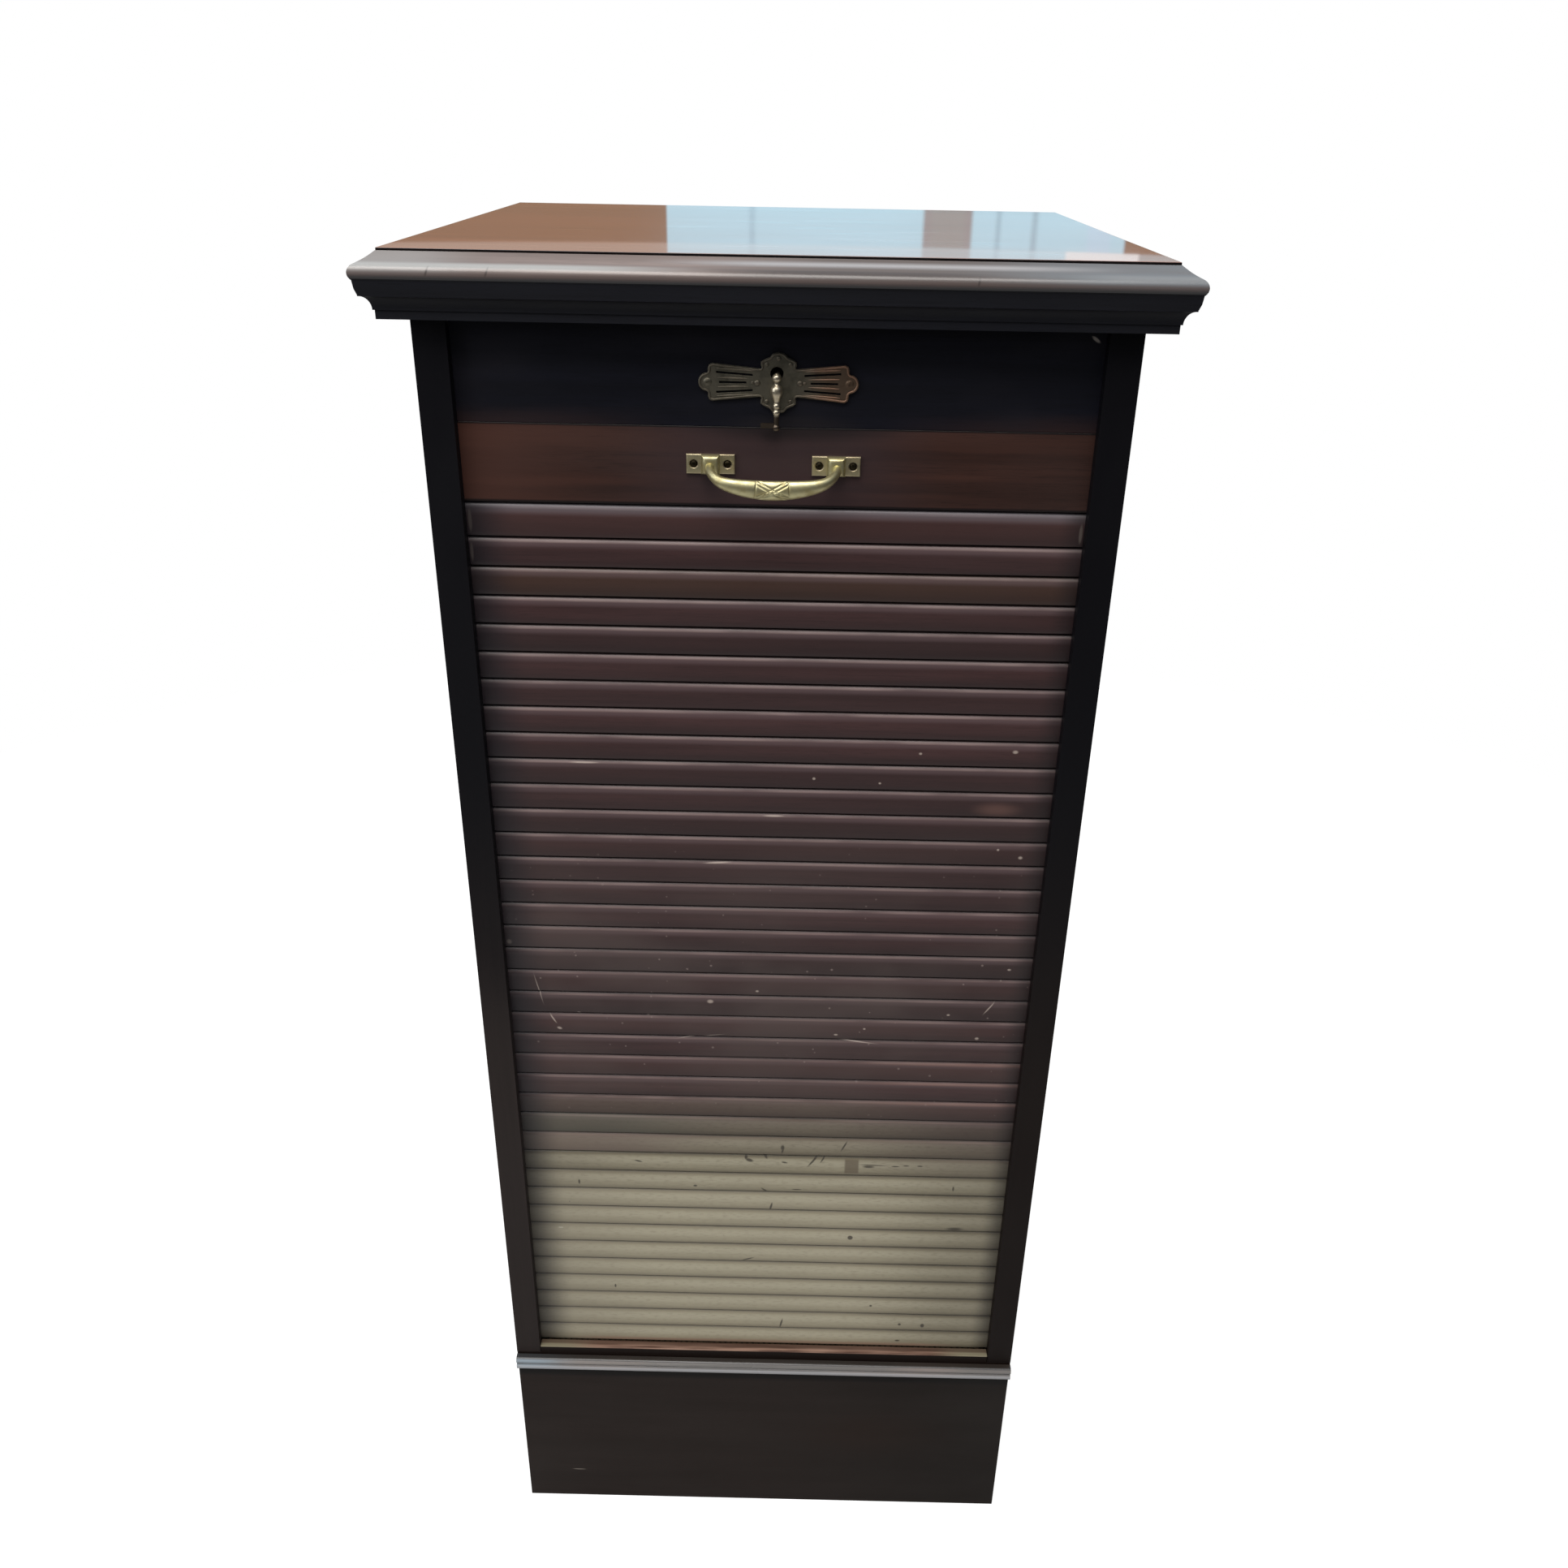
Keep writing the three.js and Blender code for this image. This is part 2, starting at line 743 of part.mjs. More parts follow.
// One quarter of the escutcheon's edge, from the top of its centre to the tip of a wing
function escutcheonQuarter() {
  const lobeStep = plateHalfHeight - lobeTop;
  const tipHalf = tipLobeRadius;
  const quarter = [
    [0, plateHalfHeight],
    [lobeHalfWidth / 3, plateHalfHeight - lobeStep / 6],
    [lobeHalfWidth / 2, plateHalfHeight - lobeStep / 2],
    [lobeHalfWidth - lobeStep / 3, lobeTop + lobeStep / 4],
    [lobeHalfWidth, lobeTop],
    [lobeHalfWidth, (lobeTop + waistHalfHeight) / 2],
    [waistOffset, waistHalfHeight],
    [wingLength - wingCorner, wingHalfHeight],
    [wingLength, wingHalfHeight - wingCorner / 2],
    [wingLength + wingCorner / 3, wingHalfHeight - 1.5 * wingCorner],
    [wingLength + wingCorner / 3, tipHalf],
  ];
  for (let step = 1; step <= tipLobeSteps; step += 1) {
    const angle = (1 - step / tipLobeSteps) * (Math.PI / 2);
    quarter.push([tipLobeOffset + tipHalf * Math.cos(angle), tipHalf * Math.sin(angle)]);
  }
  return quarter;
}

function escutcheonOutline() {
  const centre = keyAxisHeight - plateCentreDrop;
  const quarter = escutcheonQuarter();
  const right = [...quarter, ...quarter.slice(0, -1).reverse().map(([a, b]) => [a, -b])];
  const left = right.slice(1, -1).reverse().map(([a, b]) => [-a, b]);
  return outline([...right, ...left].map(([a, b]) => [a, centre + b]).reverse());
}

// Three slots through each wing, spreading towards the tip. The middle one is shorter.
function wingPiercings() {
  const centre = keyAxisHeight - plateCentreDrop;
  const half = pierceWidth / 2;
  const tools = [];
  [-1, 1].forEach((sign) => {
    [-1, 0, 1].forEach((row) => {
      const near = row * pierceSpacing * pierceFlareShare;
      const far = row * pierceSpacing;
      const start = row === 0 ? middlePierceStart : pierceStart;
      const end = row === 0 ? middlePierceEnd : pierceEnd;
      const points = [
        [sign * start, centre + near - half],
        [sign * end, centre + far - half],
        [sign * end, centre + far + half],
        [sign * start, centre + near + half],
      ];
      const shape = outline(sign > 0 ? points : points.reverse());
      const tool = drawnAlongY(shape, plateFront - cutOverrun, curtainRecess + cutOverrun);
      tools.push(tool.translate(plateShift, 0, 0));
    });
  });
  return tools;
}

function escutcheon() {
  const plate = drawnAlongY(escutcheonOutline(), plateFront, plateFront + plateThickness);
  plate.translate(plateShift, 0, 0);
  const keyhole = drawnAlongY(
    keyholeOutline(),
    plateFront - cutOverrun,
    curtainRecess + cutOverrun,
    turnedSides,
  );
  return cut(plate, [keyhole, ...wingPiercings()]);
}

// The key's barrel turns in the lock. Its ear in front carries the pin that the stem folds on.
function keyBarrel() {
  const start = stemPlane + ballRadius + fitGap;
  const end = hookFront - hookPlay - fitGap;
  const barrel = rodAlongY(barrelRadius, start, end, keyAxisHeight);
  const ear = box(
    -earThickness / 2,
    earThickness / 2,
    stemPlane,
    start + earHalfHeight,
    keyAxisHeight - earHalfHeight,
    keyAxisHeight + earHalfHeight,
  );
  const nose = rodAlongX(earHalfHeight, earThickness / 2, stemPlane, keyAxisHeight);
  const pin = rodAlongX(pinRadius, pinHalfLength, stemPlane, keyAxisHeight);
  const bit = box(
    -bitWidth / 2,
    bitWidth / 2,
    end - bitLength,
    end,
    keyAxisHeight - bitReach,
    keyAxisHeight,
  );
  return join([barrel, ear, nose, pin, bit]);
}

// Radius of the turned stem against its distance below the pin, as shares of its own sizes
const stemProfileShares = [
  [0.07, "neck", 0.9],
  [0.115, "neck", 0.9],
  [0.14, "baluster", 0.62],
  [0.19, "baluster", 0.92],
  [0.245, "baluster", 1],
  [0.32, "baluster", 0.86],
  [0.4, "baluster", 0.6],
  [0.45, "neck", 0.95],
  [0.485, "bead", 0.8],
  [0.524, "bead", 1],
  [0.563, "bead", 0.8],
  [0.586, "neck", 0.95],
  [0.609, "bead", 0.8],
  [0.648, "bead", 1],
  [0.687, "bead", 0.8],
  [0.71, "neck", 0.9],
  [0.88, "neck", 0.9],
  [0.933, "neck", 1.25],
  [0.985, "neck", 1.1],
  [1, "neck", 0.8],
];

function turnedStem() {
  const radii = { neck: stemRadius, baluster: balusterRadius, bead: beadRadius };
  const profile = stemProfileShares.map(
    ([along, kind, share]) => new THREE.Vector2(radii[kind] * share, -along * stemLength),
  );
  const top = new THREE.Vector2(0, profile[0].y);
  const foot = new THREE.Vector2(0, profile[profile.length - 1].y);
  const geometry = new THREE.LatheGeometry([foot, ...profile.reverse(), top], turnedSides);
  return geometry.rotateX(Math.PI / 2).translate(0, stemPlane, keyAxisHeight);
}

// The stem hangs from a forked ball at the barrel's ear, with a flat flag at its foot
function keyStem() {
  const ball = new THREE.SphereGeometry(ballRadius, turnedSides, turnedSides / 2);
  ball.rotateX(Math.PI / 2).translate(0, stemPlane, keyAxisHeight);
  const flagCentre = keyAxisHeight - stemLength + flagRise;
  const flag = box(
    -flagReach,
    0,
    stemPlane - flagThickness / 2,
    stemPlane + flagThickness / 2,
    flagCentre - flagHeight / 2,
    flagCentre + flagHeight / 2,
  );
  const whole = join([ball, turnedStem(), flag]);
  const slotHalf = earThickness / 2 + forkGap;
  const reach = ballRadius + cutOverrun;
  const inner = earHalfHeight + forkGap;
  const slot = box(
    -slotHalf,
    slotHalf,
    stemPlane - inner,
    stemPlane + reach,
    keyAxisHeight - inner,
    keyAxisHeight + reach,
  );
  const pinHole = rodAlongX(pinHoleRadius, reach, stemPlane, keyAxisHeight);
  return cut(whole, [slot, pinHole]);
}

function addLock() {
  addWood("lock_rail", lockRail());
  add("escutcheon", escutcheon(), antiqueBrass, 0.45, 0.9);
  add("lock_case", lockCase(), lockIron, 0.5, 0.9);
  add("lock_hook", lockHook(), lockIron, 0.5, 0.9);
  add("key_barrel", keyBarrel(), castBrass, 0.3, 0.9);
  add("key_stem", keyStem(), castBrass, 0.25, 0.9);
}

// Centre line of the pull's grip, from one foot to the other
function gripLine() {
  const foot = footSpacing / 2;
  const start = curtainRecess - footThickness;
  const half = [
    [foot, start, 0],
    [foot, curtainRecess - neckProud, neckDrop],
    [foot - gripEndInset, curtainRecess - gripEndProud, gripEndDrop],
  ];
  const middle = [0, curtainRecess - gripProud, gripDrop];
  const points = [...half, middle, ...half.map(([x, y, drop]) => [-x, y, drop]).reverse()];
  return new THREE.CatmullRomCurve3(
    points.map(([x, y, drop]) => new THREE.Vector3(x, y, pullHeight - drop)),
    false,
    "centripetal",
  );
}

function gripRings() {
  const line = gripLine();
  const up = new THREE.Vector3(0, 0, 1);
  const rings = [];
  for (let step = 0; step <= gripSteps; step += 1) {
    const centre = line.getPointAt(step / gripSteps);
    const tangent = line.getTangentAt(step / gripSteps);
    const across = new THREE.Vector3().crossVectors(up, tangent).normalize();
    const rise = new THREE.Vector3().crossVectors(tangent, across).normalize();
    const swell = Math.cos((Math.min(Math.abs(centre.x) / (footSpacing / 2), 1) * Math.PI) / 2);
    const halfDepth = neckRadius + (gripHalfDepth - neckRadius) * swell;
    const halfHeight = neckRadius + (gripHalfHeight - neckRadius) * swell;
    const ring = [];
    for (let side = 0; side < gripSides; side += 1) {
      const angle = (side / gripSides) * 2 * Math.PI;
      const point = centre.clone().addScaledVector(across, halfDepth * Math.cos(angle));
      ring.push(point.addScaledVector(rise, halfHeight * Math.sin(angle)));
    }
    rings.push(ring);
  }
  return rings;
}

function footOutline(x) {
  const halfWide = footWidth / 2;
  const halfHigh = footHeight / 2;
  const c = footCorner;
  return outline(
    [
      [c - halfWide, -halfHigh],
      [halfWide - c, -halfHigh],
      [halfWide, c - halfHigh],
      [halfWide, halfHigh - c],
      [halfWide - c, halfHigh],
      [c - halfWide, halfHigh],
      [-halfWide, halfHigh - c],
      [-halfWide, c - halfHigh],
    ].map(([a, b]) => [x + a, pullHeight + b]),
  );
}

function brassPull() {
  const back = curtainRecess - fitGap;
  const pieces = [loft(gripRings())];
  [-1, 1].forEach((sign) => {
    const x = (sign * footSpacing) / 2;
    pieces.push(drawnAlongY(footOutline(x), back - footThickness, back));
    pieces.push(
      box(
        x - bossWidth / 2,
        x + bossWidth / 2,
        back - bossDepth,
        back - footThickness / 2,
        pullHeight - bossHeight / 2,
        pullHeight + bossHeight / 2,
      ),
    );
  });
  return join(pieces).translate(pullShift, 0, 0);
}

addCarcass();
addWood("plinth_board", plinthBoard());
addWood("plinth_moulding", plinthMoulding());
addWood("cornice", cornice());
addTop();
addCurtain();
addWood("leading_rail", leadingRail(), leadingRailBrown);
add("brass_pull", brassPull(), castBrass, 0.4, 0.9);
addLock();

export default cabinet;
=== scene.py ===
"""Surfaces of a tambour door cabinet in dark mahogany, built around its CAD frame.

Metres, +Z up, the front towards -Y, the floor at z = 0 and the cabinet's middle at x = 0.
Patterns on the woods and metals are written in millimetres.
"""

import functools
import json
import math

import bmesh
import bpy
import numpy as np
from mathutils import Matrix, Vector


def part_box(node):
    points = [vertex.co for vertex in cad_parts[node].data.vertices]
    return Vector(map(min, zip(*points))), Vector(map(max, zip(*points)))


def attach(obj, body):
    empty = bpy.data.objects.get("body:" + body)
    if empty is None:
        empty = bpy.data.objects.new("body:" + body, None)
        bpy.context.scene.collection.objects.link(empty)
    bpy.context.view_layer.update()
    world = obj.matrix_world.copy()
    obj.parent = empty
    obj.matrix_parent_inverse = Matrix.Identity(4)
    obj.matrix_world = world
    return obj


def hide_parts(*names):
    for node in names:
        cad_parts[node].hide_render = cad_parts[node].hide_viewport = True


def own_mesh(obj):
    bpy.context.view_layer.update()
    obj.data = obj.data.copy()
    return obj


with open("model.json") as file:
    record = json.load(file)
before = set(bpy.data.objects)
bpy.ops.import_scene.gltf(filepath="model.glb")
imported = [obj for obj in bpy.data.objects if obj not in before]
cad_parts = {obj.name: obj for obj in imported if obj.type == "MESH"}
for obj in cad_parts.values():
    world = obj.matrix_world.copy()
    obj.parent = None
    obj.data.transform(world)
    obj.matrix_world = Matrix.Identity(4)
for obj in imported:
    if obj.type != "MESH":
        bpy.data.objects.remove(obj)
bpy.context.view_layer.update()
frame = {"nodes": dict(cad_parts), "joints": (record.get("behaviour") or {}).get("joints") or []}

bl_info = {
    "name": "Tambour door cabinet",
    "version": (1, 0, 0),
    "blender": (4, 5, 0),
    "location": "View3D > Sidebar > Cabinet",
    "description": "Builds the surfaces, materials and studio of a tambour door cabinet",
    "category": "Object",
}

MM = 0.001
JOINTS = {joint["name"]: joint for joint in frame["joints"]}

# Places that the frame gives
STILE_PLANE, CARCASS_BACK = (corner.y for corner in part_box("left_side"))
OPENING_HALF, HALF_WIDTH = (corner.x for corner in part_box("right_side"))
SILL_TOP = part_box("slat_38")[0].z
SLAT_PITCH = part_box("slat_37")[0].z - SILL_TOP
SLAT_COUNT = sum(name.startswith("slat_") for name in frame["nodes"])
CURTAIN_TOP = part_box("leading_rail")[0].z
LOCK_RAIL_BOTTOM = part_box("lock_rail")[0].z
CORNICE_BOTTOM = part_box("cornice")[0].z
PANEL_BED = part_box("top_board")[1].z
RAIL_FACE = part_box("leading_rail")[0].y
PLATE_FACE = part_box("escutcheon")[0].y
KEY_AXIS = JOINTS["key_fold"]["pos_m"]

# The reeds end this far below the top of the CAD's strip, where the photograph has them.
REEDS_DROP = 2.5 * MM


def length(name, description, size_mm):
    """A length that the user can change."""
    return bpy.props.FloatProperty(name=name, description=description, default=size_mm * MM, unit="LENGTH")


class CabinetSizes(bpy.types.PropertyGroup):
    """Sizes of the finish, which the CAD leaves open"""

    arris: length("Arris", "Rounding of the boards' edges", 0.8)
    plate_edge: length("Plate edge", "Rounding of the metal's edges", 0.35)
    slat_waviness: length("Slat waviness", "How far a slat strays from true", 0.14)
    engraving_depth: length("Engraving depth", "Depth of the pull's engraving", 0.6)
    screw_radius: length("Screw radius", "Radius of the pull's screw heads", 2.9)


def srgb(code):
    """Linear colour, with alpha, of an sRGB hex code such as #3a2a28."""
    shares = [int(code[n : n + 2], 16) / 255 for n in (1, 3, 5)]
    return (*(s / 12.92 if s <= 0.04045 else ((s + 0.055) / 1.055) ** 2.4 for s in shares), 1.0)


def tint(name, description, code):
    """A colour that the user can change, with its default given as an sRGB hex code."""
    return bpy.props.FloatVectorProperty(
        name=name, description=description, default=srgb(code), size=4, subtype="COLOR", min=0, max=1
    )


class CabinetColours(bpy.types.PropertyGroup):
    """Colours of the woods, metals and cloth"""

    carcass: tint("Carcass", "Dark mahogany of the stiles, plinth and shelves", "#1d1615")
    moulding: tint("Moulding", "Rubbed finish of the reeded strip", "#7e7b78")
    # The lock rail's near-black, bluish colour is painted shade of the cornice and a painted dark reflection.
    lock_rail: tint("Lock rail", "Blackened mahogany of the fixed rail", "#0a0b15")
    leading_rail: tint("Leading rail", "Brown mahogany of the moving rail", "#311e19")
    cornice: tint("Cornice", "Rubbed mahogany of the cornice", "#736661")
    top: tint("Top", "Red mahogany of the polished top", "#8a4f34")
    slat: tint("Slat", "Varnished mahogany of the upper slats", "#3a2525")
    faded_slat: tint("Faded slat", "Bleached finish of the lower slats", "#8f8873")
    brass: tint("Brass", "Worn cast brass of the pull", "#d8d1a4")
    key_brass: tint("Key brass", "Bright turned brass of the key", "#d2c6ae")
    tarnish: tint("Tarnish", "Tarnished brass of the escutcheon", "#757062")
    steel: tint("Steel", "Plain steel of the lock", "#6a6a6e")
    canvas: tint("Canvas", "Linen glued behind the slats", "#8b7656")


# Nodes

FINISHES = {}


def add(tree, kind, inputs=None, **settings):
    """Adds a shader node. A value in inputs is set on that input, and a socket is linked."""
    made = tree.nodes.new(f"ShaderNode{kind}")
    for name, value in settings.items():
        setattr(made, name, value)
    for key, value in (inputs or {}).items():
        if isinstance(value, bpy.types.NodeSocket):
            tree.links.new(value, made.inputs[key])
        else:
            made.inputs[key].default_value = value
    return made


def per_metre(sizes_mm):
    """Texture scales, per metre, of features that are so many millimetres long."""
    return [1 / (size * MM) for size in sizes_mm]


class Paint:
    """Masks and colours worked out by nodes on the tree of a material or a world.

    A mask goes from 0 to 1. Sizes and places on the object are in millimetres.
    """

    def __init__(self, owner, coordinates="Object"):
        owner.use_nodes = True
        owner.node_tree.nodes.clear()
        self.tree = owner.node_tree
        self.add = functools.partial(add, owner.node_tree)
        self.place = self.add("TexCoord").outputs[coordinates]
        self.x, self.y, self.z = self.add("SeparateXYZ", {0: self.place}).outputs

    def worked_out(self, value, *steps):
        """A value after steps of arithmetic, each an operation and its second operand."""
        for operation, other in steps:
            value = self.add("Math", {0: value, 1: other}, operation=operation).outputs[0]
        return value

    def times(self, first, *factors):
        """The product of masks and numbers."""
        return self.worked_out(first, *(("MULTIPLY", factor) for factor in factors))

    def most(self, first, *masks):
        """The largest of several masks at each place."""
        return self.worked_out(first, *(("MAXIMUM", mask) for mask in masks))

    def graded(self, value, low, high, start, end):
        """A straight ramp: start where a value is at low and end where it is at high."""
        limits = {"Value": value, "From Min": low, "From Max": high, "To Min": start, "To Max": end}
        return self.add("MapRange", limits).outputs[0]

    def share(self, value, low, high):
        """0 where a value is at low and 1 where it is at high, with a smooth step between them.

        The value is a socket, or the name x, y, z or out (away from the cabinet's middle), in millimetres.
        """
        if isinstance(value, str):
            found = self.worked_out(self.x, ("ABSOLUTE", 0)) if value == "out" else getattr(self, value)
            return self.share(found, low * MM, high * MM)
        limits = {"Value": value, "From Min": low, "From Max": high}
        return self.add("MapRange", limits, interpolation_type="SMOOTHSTEP").outputs[0]

    def band(self, value, low, high, blur):
        """1 where a value lies between low and high, falling to 0 within blur of each."""
        rise = self.share(value, low - blur, low + blur)
        return self.times(rise, self.share(value, high + blur, high - blur))

    def mixed(self, base, over, mask):
        """The base colour with another over it where the mask is 1."""
        return self.add("Mix", {0: mask, 6: base, 7: over}, data_type="RGBA").outputs[2]

    def layered(self, base, *rows):
        """The base colour under a row of coats, each a hex code, an amount and the masks it lies in."""
        for code, amount, *masks in rows:
            base = self.mixed(base, srgb(code), self.times(*masks, amount))
        return base

    def streaks(self, length, width, axis="X", detail=3.0, shift=0.0):
        """Noise from 0 to 1, drawn out along an axis: its features are length by width."""
        sizes = [width] * 3
        sizes["XYZ".index(axis)] = length
        drawn = {"Vector": self.place, "Scale": per_metre(sizes), "Location": (shift,) * 3}
        vector = self.add("Mapping", drawn).outputs["Vector"]
        return self.add("TexNoise", {"Vector": vector, "Scale": 1.0, "Detail": detail}).outputs[0]

    def patches(self, length, width, low, high, **noise):
        """Streaks made a mask: 0 where the noise is at low and 1 where it is at high."""
        return self.share(self.streaks(length, width, **noise), low, high)

    def spot(self, centre, radii, core=0.5, lean=0):
        """1 inside an ellipsoid's core, falling to 0 at its radii.

        It may lean to the right by an angle in degrees, as seen from the front.
        """
        centre, radii = Vector(centre) * MM, Vector(radii) * MM
        away = self.add("VectorMath", {0: self.place, 1: centre}, operation="SUBTRACT").outputs[0]
        if lean:
            turned = {"Vector": away, "Axis": (0, 1, 0), "Angle": math.radians(-lean)}
            away = self.add("VectorRotate", turned, rotation_type="AXIS_ANGLE").outputs[0]
        away = self.add("VectorMath", {0: away, 1: radii}, operation="DIVIDE").outputs[0]
        distance = self.add("VectorMath", {0: away}, operation="LENGTH").outputs["Value"]
        return self.share(distance, 1.0, core)

    def mark(self, x, height, reach, tall, core=0.4, lean=0):
        """A spot on the face of the curtain."""
        return self.spot((x, FACE, height), (reach, 20, tall), core, lean)

    def specks(self, spacing, size, chance, shift=0.0):
        """Sparse round specks of a size, one in a cell of that spacing at most."""
        drawn = {"Vector": self.place, "Scale": per_metre([spacing] * 3), "Location": (shift, 0, 0)}
        vector = self.add("Mapping", drawn).outputs["Vector"]
        cells = self.add("TexVoronoi", {"Vector": vector, "Scale": 1.0})
        near = self.share(cells.outputs["Distance"], size / spacing, 0.5 * size / spacing)
        dice = self.add("SeparateColor", {"Color": cells.outputs["Color"]}).outputs[0]
        return self.times(near, self.worked_out(dice, ("LESS_THAN", chance)))

    def shade(self, colour, rough, height, strength, rise, invert=False):
        """Gives the shader its colour and roughness, and a bump that stands so many mm at most."""
        bump = {"Height": height, "Strength": strength, "Distance": rise * MM}
        normal = self.add("Bump", bump, invert=invert).outputs["Normal"]
        for name, socket in (("Base Color", colour), ("Roughness", rough), ("Normal", normal)):
            if socket:
                self.tree.links.new(socket, self.shader.inputs[name])


def blank(name, **sockets):
    """Paint for a new material with a Principled shader, whose even values are set by socket name."""
    FINISHES[name] = bpy.data.materials.new(name)
    paint = Paint(FINISHES[name])
    paint.shader = paint.add("BsdfPrincipled", {k.replace("_", " "): v for k, v in sockets.items()})
    paint.add("OutputMaterial", {"Surface": paint.shader.outputs["BSDF"]})
    return paint


def wood(
    name, colour, wear=None, axis="X", roughness=0.34, coat=0.25, gloss=0.25, specular=0.5, depth=0.35
):
    """Mahogany under a varnish: bands of figure, fine streaks and dark open pores along the grain.

    The timber's pores are 0.2 mm wide. They are drawn 0.7 mm wide, as fine as the render shows.
    Wear is a function of the paint and the colour so far that gives the worn colour, with any painted light
    and shade.
    """
    sockets = dict(Specular_IOR_Level=specular, Coat_Weight=coat, Coat_Roughness=gloss, Coat_IOR=1.5)
    paint = blank(name, IOR=1.5, Metallic=0.0, **sockets)
    pores = paint.patches(16, 0.7, 0.56, 0.7, axis=axis, detail=1, shift=9.1)
    black, dark, light = ([min(1.0, k * c) for c in colour[:3]] + [1.0] for k in (0.35, 0.62, 1.35))
    made = paint.mixed(dark, light, paint.patches(420, 16, 0.3, 0.72, axis=axis, detail=4))
    made = paint.mixed(made, [*colour[:3], 1.0], 0.35)
    fine = paint.patches(90, 2.4, 0.48, 0.78, axis=axis, shift=3.7)
    made = paint.mixed(made, dark, paint.times(fine, 0.5))
    made = paint.mixed(made, black, paint.times(pores, depth))
    smear = paint.streaks(160, 60, axis=axis, shift=1.3)
    rough = paint.graded(smear, 0.25, 0.75, roughness - 0.07, roughness + 0.12)
    paint.shade(wear(paint, made) if wear else made, rough, pores, 0.12, 0.1, invert=True)


def metal(name, colour, roughness, tarnish, amount, stretch=(6, 6, 6), worn=None):
    """Metal with dull patches: noise picks where the tarnish lies, and it is rougher there.

    Where it is worn, one more coat lies over it: a colour, an amount, an axis and its two ends.
    """
    paint = blank(name, Metallic=1.0)
    moved = paint.add("Mapping", {"Vector": paint.place, "Scale": per_metre(stretch)})
    patches = {"Vector": moved.outputs["Vector"], "Scale": 1.0, "Detail": 5.0}
    cloud = paint.add("TexNoise", patches).outputs[0]
    made = paint.layered(list(colour), (tarnish, amount, paint.share(cloud, 0.38, 0.72)))
    if worn:
        code, share, axis, low, high = worn
        made = paint.layered(made, (code, share, paint.share(axis, low, high)))
    rough = paint.graded(cloud, 0, 1, roughness - 0.08, roughness + 0.2)
    grain = {"Vector": paint.place, "Scale": per_metre([0.8])[0], "Detail": 2.0}
    paint.shade(made, rough, paint.add("TexNoise", grain).outputs[0], 0.15, 0.1)


def linen(name, colour):
    """Plain-woven linen: threads 0.9 mm apart, one way over and the other way under, stiff with glue."""
    paint = blank(name, Metallic=0.0, Roughness=0.9, IOR=1.45, Sheen_Weight=0.2)
    wave = {"Vector": paint.place, "Scale": per_metre([0.9])[0] / 20, "Distortion": 0.0}
    over, under = (
        paint.add("TexWave", wave, wave_type="BANDS", bands_direction=direction).outputs[1]
        for direction in "XZ"
    )
    weave = paint.times(over, under)
    hollow = [0.6 * c for c in colour[:3]] + [1.0]
    made = paint.mixed(hollow, list(colour), paint.share(weave, 0.0, 0.5))
    made = paint.layered(made, ("#6a5338", 0.4, paint.patches(30, 1.2, 0.5, 0.8)))
    paint.shade(made, None, weave, 0.5, 0.2)


# Wear and age of the woods. First the places that they follow, in millimetres.

FACE, STILE, SILL, CURTAIN, RAIL_LOW, BED = (
    place / MM for place in (RAIL_FACE, STILE_PLANE, SILL_TOP, CURTAIN_TOP, LOCK_RAIL_BOTTOM, PANEL_BED)
)
KEY_X, KEY_Z = KEY_AXIS[0] / MM, KEY_AXIS[2] / MM
STRIP_FOOT, STRIP_TOP = (corner.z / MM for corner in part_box("plinth_moulding"))

# x, height, half width, half height and lean of the pale scratches and flecks in the slats
SCRATCHES = (
    (-51, 650, 3.6, 2.6), (-190, 628, 7, 1, 60), (-185, 618, 3, 1.8, 20), (-201, 660, 20, 0.6, 78),
    (-167, 635, 2.2, 1.4), (-106, 634, 1.8, 1.3), (193, 649, 10, 0.9, -55), (185, 616, 2.4, 2),
    (158, 641, 2, 1.4), (60, 617, 2.4, 1.4), (85, 624, 1.6, 1.3), (-10, 662, 2, 1.4), (2, 835, 11, 1),
    (-44, 790, 14, 0.9, -3), (-150, 880, 15, 0.9), (75, 610, 28, 0.7, 6), (-60, 612, 26, 0.6, -8),
    (34, 870, 1.8, 1.6), (87, 867, 1.5, 1.3), (118, 894, 1.8, 1.4), (193, 897, 3, 2), (206, 801, 2.4, 2),
    (187, 808, 1.5, 1.4), (-223, 708, 3, 3.4), (207, 690, 2.2, 1.4),
)
# x, height, half width, half height, core and lean of the dark chips in the pale slats
CHIPS = (
    (-16, 470, 4, 2, 0.4, 20), (-19, 473, 1.6, 2.4), (-1, 475, 3.6, 1.3, 0.4, 60), (15, 486, 2, 3.4, 0.3),
    (15, 482, 1, 3.4, 0.3, 15), (17, 468, 3, 1, 0.4, 10), (44, 471, 1.1, 9, 0.4, 35),
    (53, 473, 0.8, 5, 0.4, 30), (72, 489, 0.9, 6.5, 0.4, 25), (96, 465, 6, 1.6, 0.3),
    (100, 467, 14, 0.6, 0.4, 2), (121, 466, 4, 0.7), (131, 467, 3, 0.7), (144, 467, 3, 0.8),
    (-1, 433, 5, 1, 0.4, 40), (29, 435, 5, 0.7), (5, 413, 1.1, 5, 0.4, 12), (-120, 466, 4, 0.9, 0.4, 15),
    (-177, 439, 1, 3), (-67, 437, 2, 1.2), (182, 389, 9, 2.4, 0.2), (82, 375, 2.5, 2.4, 0.6),
    (-17, 344, 7, 0.9, 0.3, -20), (177, 440, 1, 3), (-148, 304, 1, 2.4), (106, 284, 1.5, 1.4),
    (17, 257, 1, 6.5, 0.4, 12), (136, 259, 1.6, 1.6, 0.5), (159, 258, 2, 2.6, 0.5), (135, 236, 2.6, 1.2),
)
CHIP_WIDER, CHIP_TALLER = 1.25, 1.3


